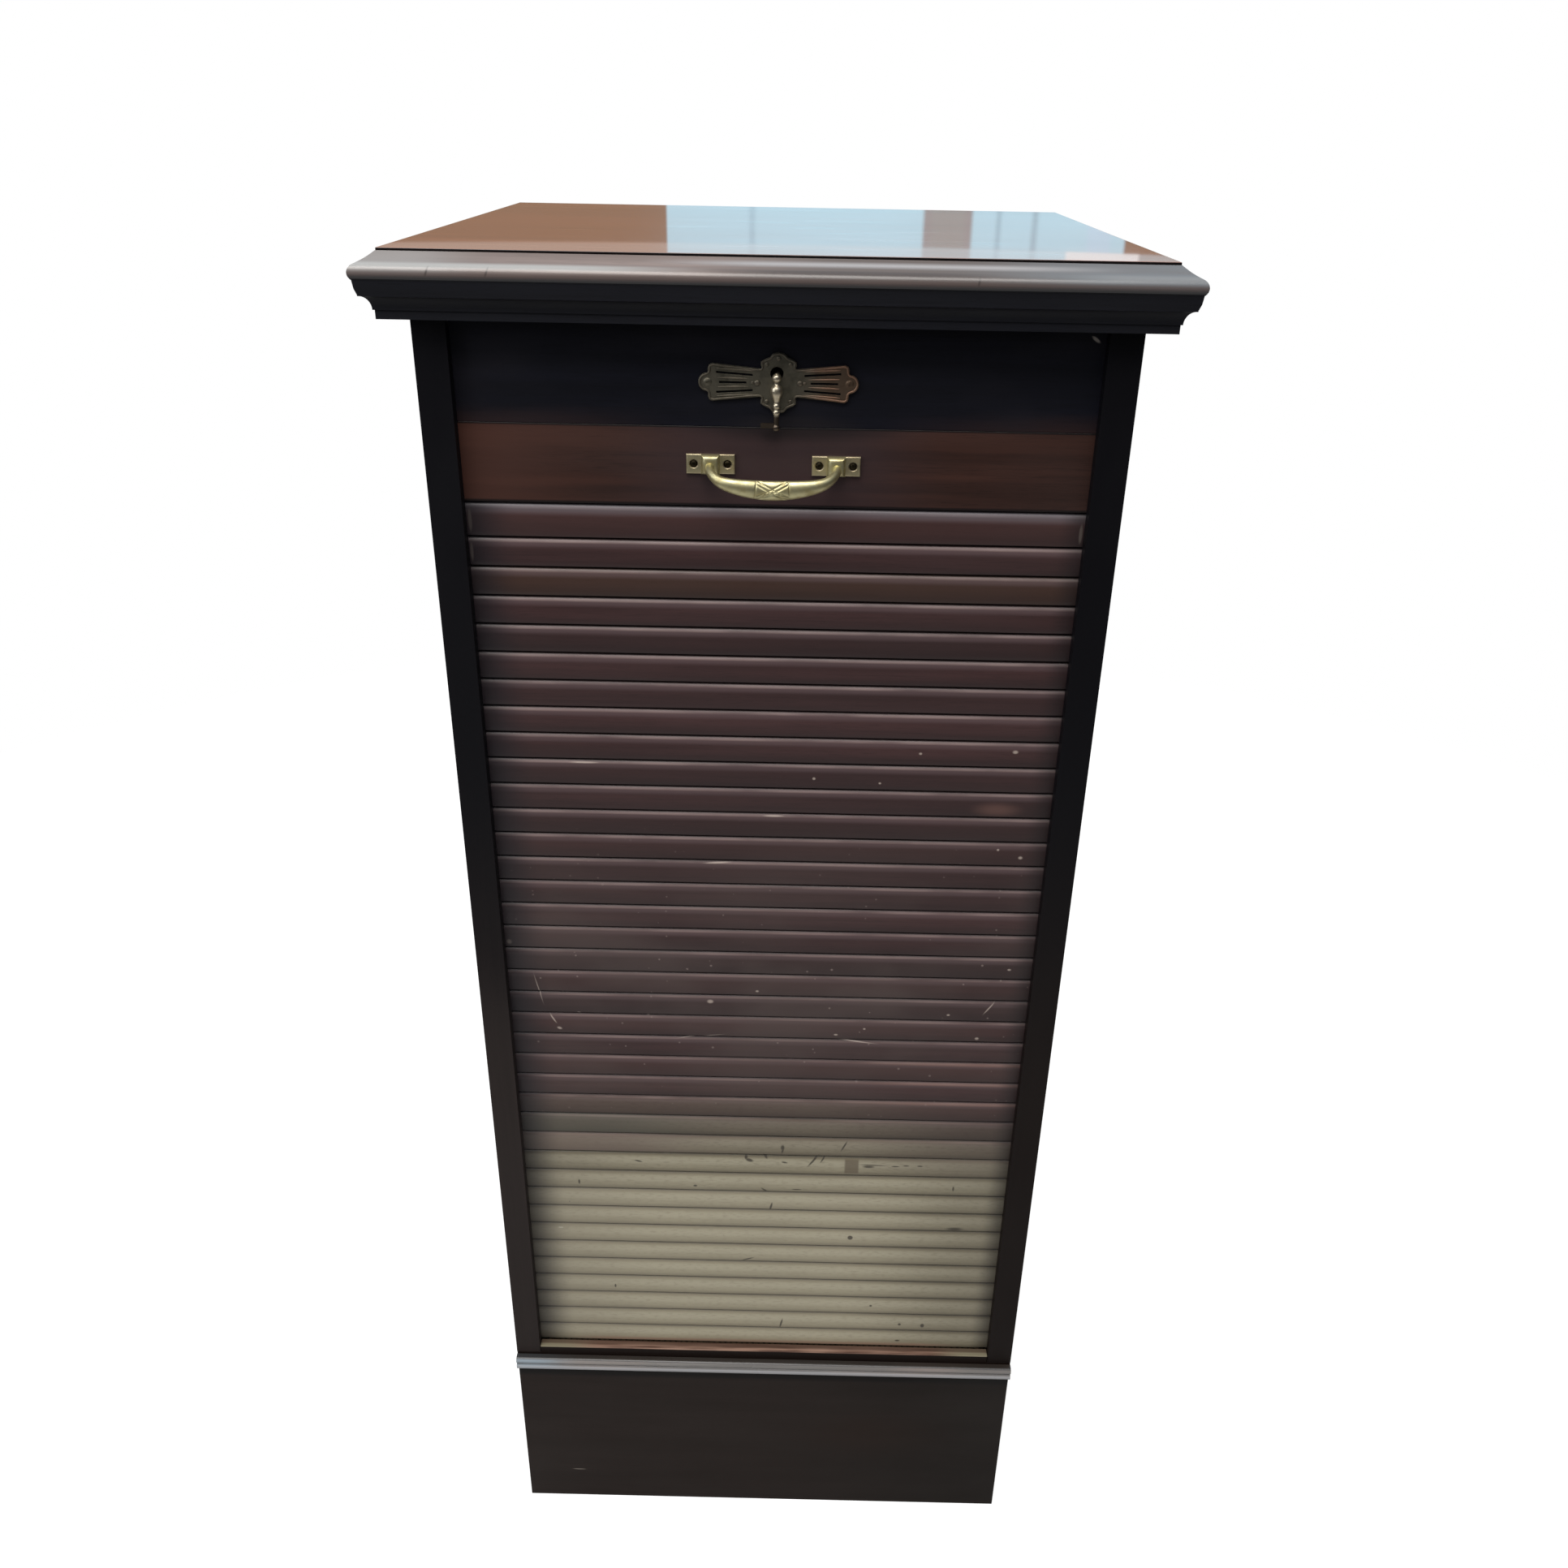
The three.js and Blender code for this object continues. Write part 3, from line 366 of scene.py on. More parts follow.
def upright_reflection_and_tone(p, colour):
    """The upper half of the stiles is painted near-black, a painted dark reflection of the room. The right
    one is darker and redder below.
    """
    return p.layered(
        colour,
        ("#120906", 0.9, p.share("x", 0, 200)),
        ("#3c3431", 0.3, p.share("x", -100, -200), p.share("z", 720, 620)),
        # painted dark reflection: the stiles' upper half near-black
        ("#040409", 0.95, p.share("z", 520, 900)),
    )


def lock_rail_shade_and_wear(p, colour):
    """The rail's lower edge is painted reddish brown along a ragged line, most at the ends: painted light
    where the painted shade of the cornice ends. It also has a dull patch and a chip.
    """
    ragged_shade_line = p.worked_out(p.streaks(70, 9), ("MULTIPLY", 14 * MM), ("ADD", p.z))
    edge = p.share(ragged_shade_line, LOCK_RAIL_BOTTOM + 22 * MM, LOCK_RAIL_BOTTOM + 6 * MM)
    return p.layered(
        colour,
        # painted light: the lit lower edge below the cornice's painted shade
        ("#231718", 1.0, edge, p.share("out", 60, 190)),
        ("#19171e", 0.5, p.patches(130, 60, 0.45, 0.7, shift=5.5)),
        ("#1d191b", 0.5, p.spot((KEY_X + 12, FACE, RAIL_LOW + 2), (60, 30, 9), 0.2)),
        ("#8d8782", 0.7, p.mark(219, 1211, 4.5, 1.5, lean=35)),
    )


def leading_rail_shade_and_wear(p, colour):
    """The rail is redder at its left end, with flecks. Painted shade makes it greyer between the pull's feet,
    under the grip, and darker under the lock. It is near-black along its top and bottom edges, where it meets
    the lock rail and the slats.
    """
    edges = p.share("z", RAIL_LOW - 2, RAIL_LOW - 1), p.share("z", CURTAIN + 2.4, CURTAIN + 1)
    return p.layered(
        colour,
        ("#42271f", 0.7, p.share("x", -110, -215)),
        ("#4c2e25", 0.3, p.patches(240, 12, 0.45, 0.7, shift=2.6)),
        # painted shade of the pull, between its feet
        ("#33272a", 0.7, p.share("out", 130, 40)),
        # painted shade under the lock rail and the key
        ("#171113", 0.8, p.spot((14, FACE, RAIL_LOW), (95, 30, 15), 0.25)),
        # painted shade along both edges, where the rail meets the lock rail and the slats
        ("#0c0809", 0.9, p.most(*edges)),
        ("#7d6a61", 0.5, p.specks(26, 0.9, 0.16)),
    )


def plinth_shade_and_wear(p, colour):
    """Small pale specks, a reddish smear and a scratch on the face, which is darker to the right. Painted
    shadow makes the face near-black just under the strip. Painted shade makes it near-black from behind the
    strip's upper half up to the sill.

    The sill's top keeps its pale finish only at its two ends. Between them it is worn to pinkish wood.
    """
    made = p.layered(
        colour,
        ("#2a1f18", 0.4, p.share("z", STRIP_FOOT - 9, STRIP_FOOT - 17)),
        ("#6f675f", 0.7, p.specks(38, 1.1, 0.22, shift=5.0)),
        ("#2c1b12", 0.5, p.spot((120, STILE, 110), (110, 30, 45), 0.1)),
        ("#8d857b", 0.7, p.spot((-196, STILE, 42), (9, 20, 0.8), 0.4)),
        ("#130e0a", 0.6, p.share("x", -30, 240)),
        # painted shadow cast by the strip
        ("#060302", 0.85, p.share("z", STRIP_FOOT - 17, STRIP_FOOT - 9)),
        # painted shade above the strip, under the sill's edge
        ("#120703", 1.0, p.share("z", STRIP_FOOT + 10, STRIP_FOOT + 15)),
    )
    bare = p.layered(
        srgb("#4a332a"),
        ("#957868", 1.0, p.patches(60, 3, 0.3, 0.75, shift=1.8)),
        ("#7a735f", 1.0, p.share("out", 165, 205)),
        ("#46342a", 0.75, p.share("y", STILE + 3, STILE + 5.5)),
    )
    return p.mixed(made, bare, p.share("z", SILL - 1.1, SILL - 0.4))


def moulding_shade_and_wear(p, colour):
    """Bluish grey at its left end and duller to the right, with a paler lower reed and a darker line in the
    groove between the reeds. Painted shade makes it near-black along its top and its foot, where it meets the
    board.
    """
    top = STRIP_TOP - REEDS_DROP / MM
    middle = 0.5 * (STRIP_FOOT + top) + 0.3
    return p.layered(
        colour,
        ("#8c9ca8", 0.9, p.share("x", -180, -240)),
        ("#706b68", 0.6, p.share("x", 20, 230)),
        ("#93857f", 0.5, p.patches(110, 30, 0.45, 0.7, shift=4.2)),
        ("#a3a4a8", 0.65, p.share("z", middle - 0.8, middle - 2)),
        ("#55524f", 0.6, p.band("z", middle - 1, middle + 0.8, 0.6)),
        # painted shade along the top and the foot of the strip
        ("#1a120b", 0.92, p.share("z", top - 1.5, top - 0.5)),
        ("#100e0e", 0.9, p.share("z", STRIP_FOOT + 1, STRIP_FOOT + 0.5)),
    )


def cornice_light_shade_and_wear(p, colour):
    """The slope is rubbed to a brownish grey, paler at its ends, with a painted highlight: a light band along
    its upper middle.

    The roll has a painted highlight at its ends, most at the left, and painted shade on its top in the
    middle. Painted shade darkens it below, and the cove is painted black as painted shade.
    """
    ends = p.most(p.share("x", -30, -140), p.times(p.share("x", 180, 230), 0.25))
    places = ((-228, 20), (-189, 20), (131, 10))
    nicks = (p.spot((x, -252, BED + 1), (1.2, 12, 4.5), 0.2, lean) for x, lean in places)
    return p.layered(
        colour,
        ("#7e7a78", 1.0, p.share("x", -185, -245)),
        ("#574f4b", 1.0, p.share("x", -70, 50)),
        ("#64686c", 1.0, p.share("x", 100, 220)),
        ("#5a4d48", 0.3, p.patches(140, 9, 0.42, 0.72, shift=2.0)),
        # painted highlight on the upper slope
        ("#929193", 1.0, p.band("z", BED + 7.7, BED + 9.9, 1.2), p.band("x", -50, 190, 50)),
        # painted shade that dims the roll's highlight in the middle
        ("#3a3230", 0.65, p.band("z", BED + 1.5, BED + 5.6, 0.6), p.band("x", -30, 130, 40)),
        # painted highlight on the roll at its ends
        ("#959594", 1.0, p.band("z", BED + 3.2, BED + 6, 0.9), ends),
        # painted shade under the roll and in the cove
        ("#554a48", 0.85, p.share("z", BED + 2.6, BED - 0.6)),
        ("#0f0d11", 1.0, p.share("z", BED - 0.5, BED - 3.6)),
        ("#2a2422", 0.7, p.most(*nicks)),
    )


def top_panel_shade_and_specks(p, colour):
    """The panel is painted black below its top face: painted shade along its front edge, over the groove
    above the cornice. A few pale specks lie on the top.
    """
    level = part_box("top_panel")[1].z / MM
    return p.layered(
        colour,
        # painted shade: the panel's edge painted black
        ("#0c0504", 1.0, p.share("z", level - 0.08, level - 0.2)),
        ("#c9a48c", 0.5, p.specks(30, 1.9, 0.25, shift=3.0)),
    )


def slat_number(p):
    """Number of the slat at a place, counted up from 0 at the sill, and the share of its height."""
    along = p.worked_out(p.z, ("SUBTRACT", SILL_TOP), ("DIVIDE", SLAT_PITCH))
    number = p.worked_out(along, ("FLOOR", 0), ("MINIMUM", SLAT_COUNT - 1))
    first = p.band(number, SLAT_COUNT - 1.4, SLAT_COUNT - 0.6, 0.05)
    height = (CURTAIN_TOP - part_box("slat_01")[0].z) / SLAT_PITCH
    part = p.worked_out(along, ("SUBTRACT", number))
    return number, p.times(part, p.graded(first, 0, 1, 1, 1 / height))


def slat_tones_light_and_shade(p, colour, number, part):
    """Each slat has its own tone. The third from the top is yellower.

    A slat has painted highlights under its rounded top edge, pinkish on three slats near the middle towards
    the right. Painted shade darkens it towards its foot, and the top slat has a grey painted highlight over
    its upper part.
    """
    dice = p.add("TexWhiteNoise", {"W": number}, noise_dimensions="1D").outputs["Value"]
    top = SLAT_COUNT - 1
    # painted pinkish highlight: three slats, under the top edge, towards the right
    pinkish = p.band(number, 12.6, 15.4, 0.05), p.band(part, 0.78, 0.9, 0.05), p.share("x", 40, 150)
    return p.layered(
        colour,
        ("#2b1c1c", 0.6, p.share(dice, 0.4, 0.0)),
        ("#442c29", 0.6, p.share(dice, 0.65, 1.0)),
        ("#3c2a20", 0.7, p.band(number, top - 2.4, top - 1.6, 0.05)),
        # painted shade towards each slat's foot
        ("#1a1112", 0.4, p.share(part, 0.6, 0.05)),
        # painted highlights under each slat's rounded top edge
        ("#68575a", 0.4, p.band(part, 0.68, 0.86, 0.1)),
        ("#917d79", 0.55, p.band(part, 0.82, 0.9, 0.035), p.patches(60, 30, 0.1, 0.75, shift=6.0)),
        # painted highlight on the top slat
        ("#5c585e", 0.8, p.band(number, top - 0.4, top + 0.4, 0.05), p.share(part, 0.6, 0.95)),
        # painted pinkish highlight at the right of three slats
        ("#8a6a60", 0.4, *pinkish),
    )


def slat_haze(p, colour):
    """A grey patchy band over the middle slats, with pale flecks and fine scratches, and a rubbed patch."""
    low = p.band("z", 550, 760, 100)
    flecks = p.most(p.specks(13, 1.5, 0.25), p.specks(8, 1.1, 0.2, shift=5.0))
    scratches = (p.mark(*row[:4], 0.3, *row[4:]) for row in SCRATCHES)
    return p.layered(
        colour,
        ("#514542", 0.6, low, p.patches(150, 90, 0.3, 0.7, shift=4.4)),
        ("#8d7e78", 0.5, flecks, low),
        ("#b5a79c", 0.6, p.most(*scratches)),
        ("#6a4c44", 0.5, p.mark(183, 845, 26, 9, 0.1)),
    )


def end_slivers(p, colour):
    """Pale bare wood where the ends of the top two slats have rubbed in their tracks."""
    half = OPENING_HALF / MM
    left = p.mark(2.4 - half, CURTAIN - 14, 1.8, 11, 0.5), p.mark(1.8 - half, CURTAIN - 38, 1.5, 9, 0.5)
    right = p.mark(half - 2.2, CURTAIN - 16, 1.6, 9, 0.5)
    return p.layered(colour, ("#857a72", 0.6, p.most(*left, right)))


def slat_fade_light_and_shade(p, colour, number, part):
    """The lowest eleven slats are bleached to an olive beige, and the four above them less and less. Each
    pale slat has a painted highlight on its upper face, painted shade at its foot and in its groove, and
    painted shade towards its ends. The lowest are painted lighter but at the right, a painted pool of light.

    The pale finish goes as the square of how far a slat lies below the fifteenth from the sill.
    """
    drift = p.times(p.streaks(150, 26, shift=8.0), 0.5)
    moved = p.worked_out(number, ("ADD", drift), ("ADD", p.times(p.share("x", 30, 190), 0.9)))
    faded = p.graded(moved, 15.0, 10.45, 0, 1)
    mask = p.times(faded, faded)
    left = p.share("x", -20, -150)
    pale = p.layered(
        list(bpy.context.scene.cabinet_colours.faded_slat),
        ("#7d7663", 0.4, p.patches(60, 14, 0.35, 0.8, shift=2.2)),
        # painted highlight on each pale slat's upper face
        ("#a59f8b", 0.6, p.band(part, 0.42, 0.76, 0.12)),
        # painted shade at each pale slat's foot and in its groove
        ("#615948", 0.65, p.share(part, 0.3, 0.02)),
        ("#4f4738", 0.85, p.share(part, 0.74, 0.92)),
        ("#6d6654", 0.4, p.patches(7, 1.8, 0.45, 0.75, detail=2, shift=12.0)),
        # painted shade towards the ends, near the stiles
        ("#5f594c", 0.45, p.share("out", 90, 235)),
        ("#6c7061", 0.7, left, p.band(number, 11.6, 12.4, 0.05)),
        ("#7a6a62", 0.6, left, p.band(number, 10.6, 11.4, 0.05)),
        # painted light on the lowest slats, falling off to the right
        ("#d9d0b8", 0.14, p.share(number, 9.8, 8.2), p.share("x", 190, 60)),
    )
    made = p.mixed(colour, pale, mask)
    return p.layered(made, ("#4a4338", 0.6, p.specks(21, 1.0, 0.12, shift=7.0), mask))


def slat_chips_and_foot_light(p, colour):
    """Dark chips, stains and scratches in the pale slats, and one square patch of bare wood.

    The lowest slat's foot is rubbed to pinkish wood but for its ends. It is also painted lighter, as painted
    light against the shade where it meets the sill.
    """
    chips = (p.mark(x, z, CHIP_WIDER * w, CHIP_TALLER * h, *rest) for x, z, w, h, *rest in CHIPS)
    return p.layered(
        colour,
        ("#332d26", 0.85, p.most(*chips)),
        ("#5d5242", 0.8, p.band("x", 73.5, 86.5, 1.2), p.band("z", 456.5, 473, 1.2)),
        ("#bdb8aa", 0.7, p.mark(-198, 380, 3.4, 1)),
        # rubbed pinkish wood, painted lighter to offset the shade at the sill
        ("#967b69", 0.85, p.share("z", SILL + 7, SILL + 1.5), p.share("out", 205, 150)),
    )


def slat_wear_and_shade(p, colour):
    """All of the slats' wear and painted light, with painted shade last: in their grooves, and along the
    tracks where the stiles' shadow falls.
    """
    number, part = slat_number(p)
    made = end_slivers(p, slat_haze(p, slat_tones_light_and_shade(p, colour, number, part)))
    return p.layered(
        slat_chips_and_foot_light(p, slat_fade_light_and_shade(p, made, number, part)),
        # painted shade in the grooves between slats
        ("#0f0b0b", 1.0, p.share(part, 0.9, 0.96), p.graded(number, 10, 24, 0.25, 0.85)),
        # painted shadow of the stiles at the ends of the slats
        ("#14131a", 0.75, p.share("x", -188, -224)),
        ("#171214", 0.6, p.share("x", 206, 225)),
    )


def make_finishes():
    """Makes every material of the cabinet."""
    colours = bpy.context.scene.cabinet_colours

    # Varnish gone dark and dull with age: a satin that keeps the faces deep.
    dark = colours.carcass
    wood("mahogany_upright", dark, upright_reflection_and_tone, axis="Z", roughness=0.5, coat=0.03, specular=0.18)
    wood("mahogany_level", dark, roughness=0.48, coat=0.05, specular=0.3)
    wood("mahogany_plinth", dark, plinth_shade_and_wear, roughness=0.48, coat=0.03, specular=0.2)
    # The lock rail is painted near-black and bluish: painted shade of the cornice and a painted dark
    # reflection.
    dark = colours.lock_rail
    wood("mahogany_lock_rail", dark, lock_rail_shade_and_wear, roughness=0.55, coat=0.0, specular=0.17)
    dark = colours.leading_rail
    wood("mahogany_leading_rail", dark, leading_rail_shade_and_wear, roughness=0.42, coat=0.08, specular=0.35)
    # Mouldings rubbed by years of dusting: the dark finish is gone, and what is left shines.
    wood("mahogany_moulding", colours.moulding, moulding_shade_and_wear, roughness=0.3, coat=0.4, depth=0.15)
    rubbed = colours.cornice
    wood("mahogany_cornice", rubbed, cornice_light_shade_and_wear, roughness=0.3, coat=0.5, gloss=0.26, depth=0.2)
    # Under the roll the finish is painted black and dull: painted shade of the cove.
    wood("mahogany_cornice_shade", srgb("#0e0f16"), roughness=0.55, coat=0.0, specular=0.25)
    # Rubbed varnish over planed slats. The faded ones have lost their gloss.
    satin = dict(roughness=0.45, coat=0.15, gloss=0.32, specular=0.4, depth=0.25)
    wood("mahogany_slats", colours.slat, slat_wear_and_shade, **satin)
    # French polish: many thin coats of shellac rubbed to a mirror, over red mahogany.
    wood("french_polished_mahogany", colours.top, top_panel_shade_and_specks, roughness=0.3, coat=1.0, gloss=0.02)
    # Sand-cast brass, filed and worn by hands: soft highlights, and pinkish on its feet.
    feet = ("#baa792", 0.85, "y", FACE - 3.4, FACE - 2)
    metal("sand_cast_brass", colours.brass, 0.4, "#a29262", 0.6, (9, 9, 5), feet)
    # Turned brass screws that nobody polishes: dull and nearly black with wax.
    metal("screw_brass", srgb("#3a3426"), 0.45, "#1c1813", 0.8)
    # Turned brass, pale where fingers polish it and darker brown down the lower shank.
    shank = ("#5d5044", 0.9, "z", KEY_Z - 25, KEY_Z - 27)
    metal("turned_brass", colours.key_brass, 0.32, "#ab9f8a", 0.5, (5, 5, 3), shank)
    # Stamped brass gone dark: grey green in one wing and copper in the other.
    wing = ("#6b5040", 0.6, "x", 12, 40)
    metal("tarnished_brass", colours.tarnish, 0.5, "#4c4a40", 0.7, (7, 7, 7), wing)
    # The same plate's raised lines, which cloths have kept brighter.
    wing = ("#9f7a64", 0.7, "x", 12, 40)
    metal("rubbed_brass", srgb("#736c5f"), 0.5, "#5e594e", 0.6, (7, 7, 7), wing)
    # Rolled and filed steel: grey, with brown patches where its oil has dried.
    metal("plain_steel", colours.steel, 0.42, "#3d3833", 0.6, (14, 14, 14))
    linen("glued_linen", colours.canvas)


# Meshes

# The axis of a lathe turned from +Z to -Y
FACING_FRONT = ((1, 0, 0), (0, 0, -1), (0, 1, 0))
SCREW_RISE = 0.9 * MM


def placed(name, data):
    """A new object in the scene."""
    made = bpy.data.objects.new(name, data)
    bpy.context.scene.collection.objects.link(made)
    return made


def cleaned(mesh, flatten=False):
    """Joins points that coincide and turns every face outward. Flat areas can be made one face each."""
    shell = bmesh.new()
    shell.from_mesh(mesh)
    bmesh.ops.remove_doubles(shell, verts=shell.verts, dist=0.002 * MM)
    if flatten:
        flat = {"angle_limit": math.radians(0.5), "use_dissolve_boundaries": False}
        bmesh.ops.dissolve_limit(shell, verts=shell.verts, edges=shell.edges, **flat)
    bmesh.ops.recalc_face_normals(shell, faces=shell.faces)
    shell.to_mesh(mesh)
    shell.free()


def loose(name, points, faces):
    """A closed mesh object with outward faces and no material yet."""
    mesh = bpy.data.meshes.new(name)
    mesh.from_pydata(np.asarray(points, float).reshape(-1, 3).tolist(), [], faces)
    cleaned(mesh)
    return placed(name, mesh)


def dressed(made, finish, node=None, body="cabinet", sharp=35.0):
    """Gives a piece its material and body, and hides its CAD node if one is given.

    It is shaded smooth but for edges sharper than an angle in degrees.
    """
    mesh = made.data
    mesh.polygons.foreach_set("use_smooth", np.ones(len(mesh.polygons), bool))
    mesh.set_sharp_from_angle(angle=math.radians(sharp))
    mesh.materials.clear()
    mesh.materials.append(FINISHES[finish])
    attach(made, body)
    if node:
        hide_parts(node)
    return made


def softened(node, finish, width, body="cabinet", segments=3, name=None):
    """A copy of a CAD node with its flat faces made whole and its edges rounded by a live bevel."""
    name = name or f"{node}_finish"
    mesh = frame["nodes"][node].data.copy()
    mesh.name = name
    cleaned(mesh, flatten=True)
    made = dressed(placed(name, mesh), finish, node, body, sharp=180.0)
    bevel = made.modifiers.new("arris", "BEVEL")
    bevel.width = width
    bevel.segments = segments
    bevel.limit_method = "ANGLE"
    bevel.angle_limit = math.radians(28)
    made.modifiers.new("flat_faces", "WEIGHTED_NORMAL").keep_sharp = True


def worked(target, tools, operation):
    """Cuts the tools from the target, or joins them to it, and removes the tools."""
    for tool in tools:
        step = target.modifiers.new("work", "BOOLEAN")
        step.operation = operation
        step.solver = "EXACT"
        step.object = tool
    bpy.context.view_layer.update()
    final = bpy.data.meshes.new_from_object(target.evaluated_get(bpy.context.evaluated_depsgraph_get()))
    target.modifiers.clear()
    target.data = final
    for tool in tools:
        bpy.data.objects.remove(tool)
    cleaned(final)


def run_down(made):
    """Gives a piece of the curtain its own copy of its mesh."""
    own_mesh(made)


def quads(rows, columns, closed=True):
    """Faces over a grid of points, row by row. A closed grid joins its last column to its first."""
    across = np.arange(columns if closed else columns - 1)
    row, column = np.meshgrid(np.arange(rows - 1), across, indexing="ij")
    after = (column + 1) % columns
    near, far = row * columns, (row + 1) * columns
    return np.stack([near + column, near + after, far + after, far + column], axis=-1).reshape(-1, 4).tolist()


def capped(rings):
    """Points and faces of rings of equal length, joined in order, with a flat face on each end."""
    rows, columns = rings.shape[:2]
    ends = [list(range(columns))[::-1], list(range((rows - 1) * columns, rows * columns))]
    return rings.reshape(-1, 3), quads(rows, columns) + ends


def arc(centre, radii, start, end, steps):
    """Points of an elliptical arc from a start angle to an end angle in degrees, both included."""
    angles = np.radians(np.linspace(start, end, steps + 1))
    return np.stack([centre[0] + radii[0] * np.cos(angles), centre[1] + radii[1] * np.sin(angles)], axis=1)


def along_x(profile, stations):
    """Rings of a profile in (y, z) carried along X to each station."""
    rings = np.zeros((len(stations), len(profile), 3))
    rings[:, :, 0] = np.asarray(stations)[:, None]
    rings[:, :, 1:] = np.asarray(profile)[None]
    return rings


def headings(line, closed=False):
    """Unit vectors along a line at each of its points."""
    forward = np.roll(line, -1, axis=0) - np.roll(line, 1, axis=0) if closed else np.gradient(line, axis=0)
    return forward / np.linalg.norm(forward, axis=1)[:, None]


def part_way(t, start, end, before, after):
    """The point at t on a straight way from before, at start, to after, at end."""
    return ((end - t) * before + (t - start) * after) / (end - start)


def smooth_line(points, shares):
    """Centripetal Catmull-Rom curve through the points, sampled at shares of its length."""
    p = np.asarray(points, float)
    p = np.vstack([2 * p[0] - p[1], p, 2 * p[-1] - p[-2]])
    knots = np.concatenate([[0], np.cumsum(np.sqrt(np.linalg.norm(np.diff(p, axis=0), axis=1)))])
    fine = []
    for n in range(1, len(p) - 2):
        t = np.linspace(knots[n], knots[n + 1], 60)[:, None]
        a = [part_way(t, *knots[m - 1 : m + 1], p[m - 1], p[m]) for m in (n, n + 1, n + 2)]
        b = [part_way(t, knots[m - 1], knots[m + 1], a[m - n], a[m - n + 1]) for m in (n, n + 1)]
        fine.append(part_way(t, knots[n], knots[n + 1], *b))
    fine = np.vstack(fine)
    run = np.concatenate([[0], np.cumsum(np.linalg.norm(np.diff(fine, axis=0), axis=1))])
    return np.stack([np.interp(np.asarray(shares) * run[-1], run, fine[:, k]) for k in range(3)], axis=1)


def level_ring(x0, y0, x1, y1, z):
    """The four corners of a level rectangle."""
    return [[x0, y0, z], [x1, y0, z], [x1, y1, z], [x0, y1, z]]


def block(low, high):
    """Points and faces of a plain box."""
    return capped(np.array([level_ring(*low[:2], *high[:2], z) for z in (low[2], high[2])]))


def cushion_slab(low, high, radius, steps=4):
    """A box whose front edges are rounded: rings shrink along a quarter circle towards the front."""
    (x0, y0, z0), (x1, y1, z1) = low, high
    angles = np.radians(np.linspace(90, 0, steps + 1))
    insets = [0.0, *(radius * (1 - np.sin(angles)))]
    depths = [y1, *(y0 + radius * (1 - np.cos(angles)))]
    rings = [
        [[x0 + m, y, z0 + m], [x1 - m, y, z0 + m], [x1 - m, y, z1 - m], [x0 + m, y, z1 - m]]
        for m, y in zip(insets, depths)
    ]
    return capped(np.array(rings))


def lathe(profile, centre, sides, tilt=((1, 0, 0), (0, 1, 0), (0, 0, 1))):
    """A profile of (radius, height) turned round the Z axis, tilted and moved to a centre.

    The profile's ends lie on the axis.
    """
    angles = np.linspace(0, 2 * math.pi, sides, endpoint=False)
    radii, heights = np.asarray(profile, float).T[..., None]
    rings = np.broadcast_arrays(radii * np.cos(angles), radii * np.sin(angles), heights)
    return capped(np.stack(rings, axis=-1) @ np.array(tilt).T + centre)


def dome_screw(name, centre, radius, turn, finish, body="cabinet"):
    """A slotted round-head screw that faces the front: a cap of a sphere with a slot cut across it."""
    rise = SCREW_RISE
    cap = arc((0, -0.6 * rise), (radius, 1.6 * rise), 0, 90, 8)
    cap = cap[cap[:, 1] > 0]
    profile = [(0, -rise), (radius, -rise), (radius, 0), *cap[:-1], (0, cap[-1, 1])]
    made = loose(name, *lathe(profile, centre, 32, FACING_FRONT))
    half, deep = 0.17 * radius, 0.6 * rise
    points, faces = block((-2 * radius, -deep, -half), (2 * radius, deep, half))
    c, s = math.cos(math.radians(turn)), math.sin(math.radians(turn))
    spun = points @ np.array([[c, 0, s], [0, 1, 0], [-s, 0, c]]) + np.array(centre) - (0, rise, 0)
    worked(made, [loose("slot", spun, faces)], "DIFFERENCE")
    dressed(made, finish, None, body)


# Pieces


class CABINET_OT_carcass(bpy.types.Operator):
    """Sides, back, false back, floor, shelves and top board, with softened edges"""

    bl_idname = "cabinet.carcass"
    bl_label = "Carcass"

    upright = ("left_side", "right_side", "back_panel", "false_back")
    level = ("bottom_board", "lower_shelf", "middle_shelf", "upper_shelf", "top_board")

    def execute(self, context):
        for finish, nodes in (("mahogany_upright", self.upright), ("mahogany_level", self.level)):
            for node in nodes:
                softened(node, finish, context.scene.cabinet_sizes.arris)
        return {"FINISHED"}


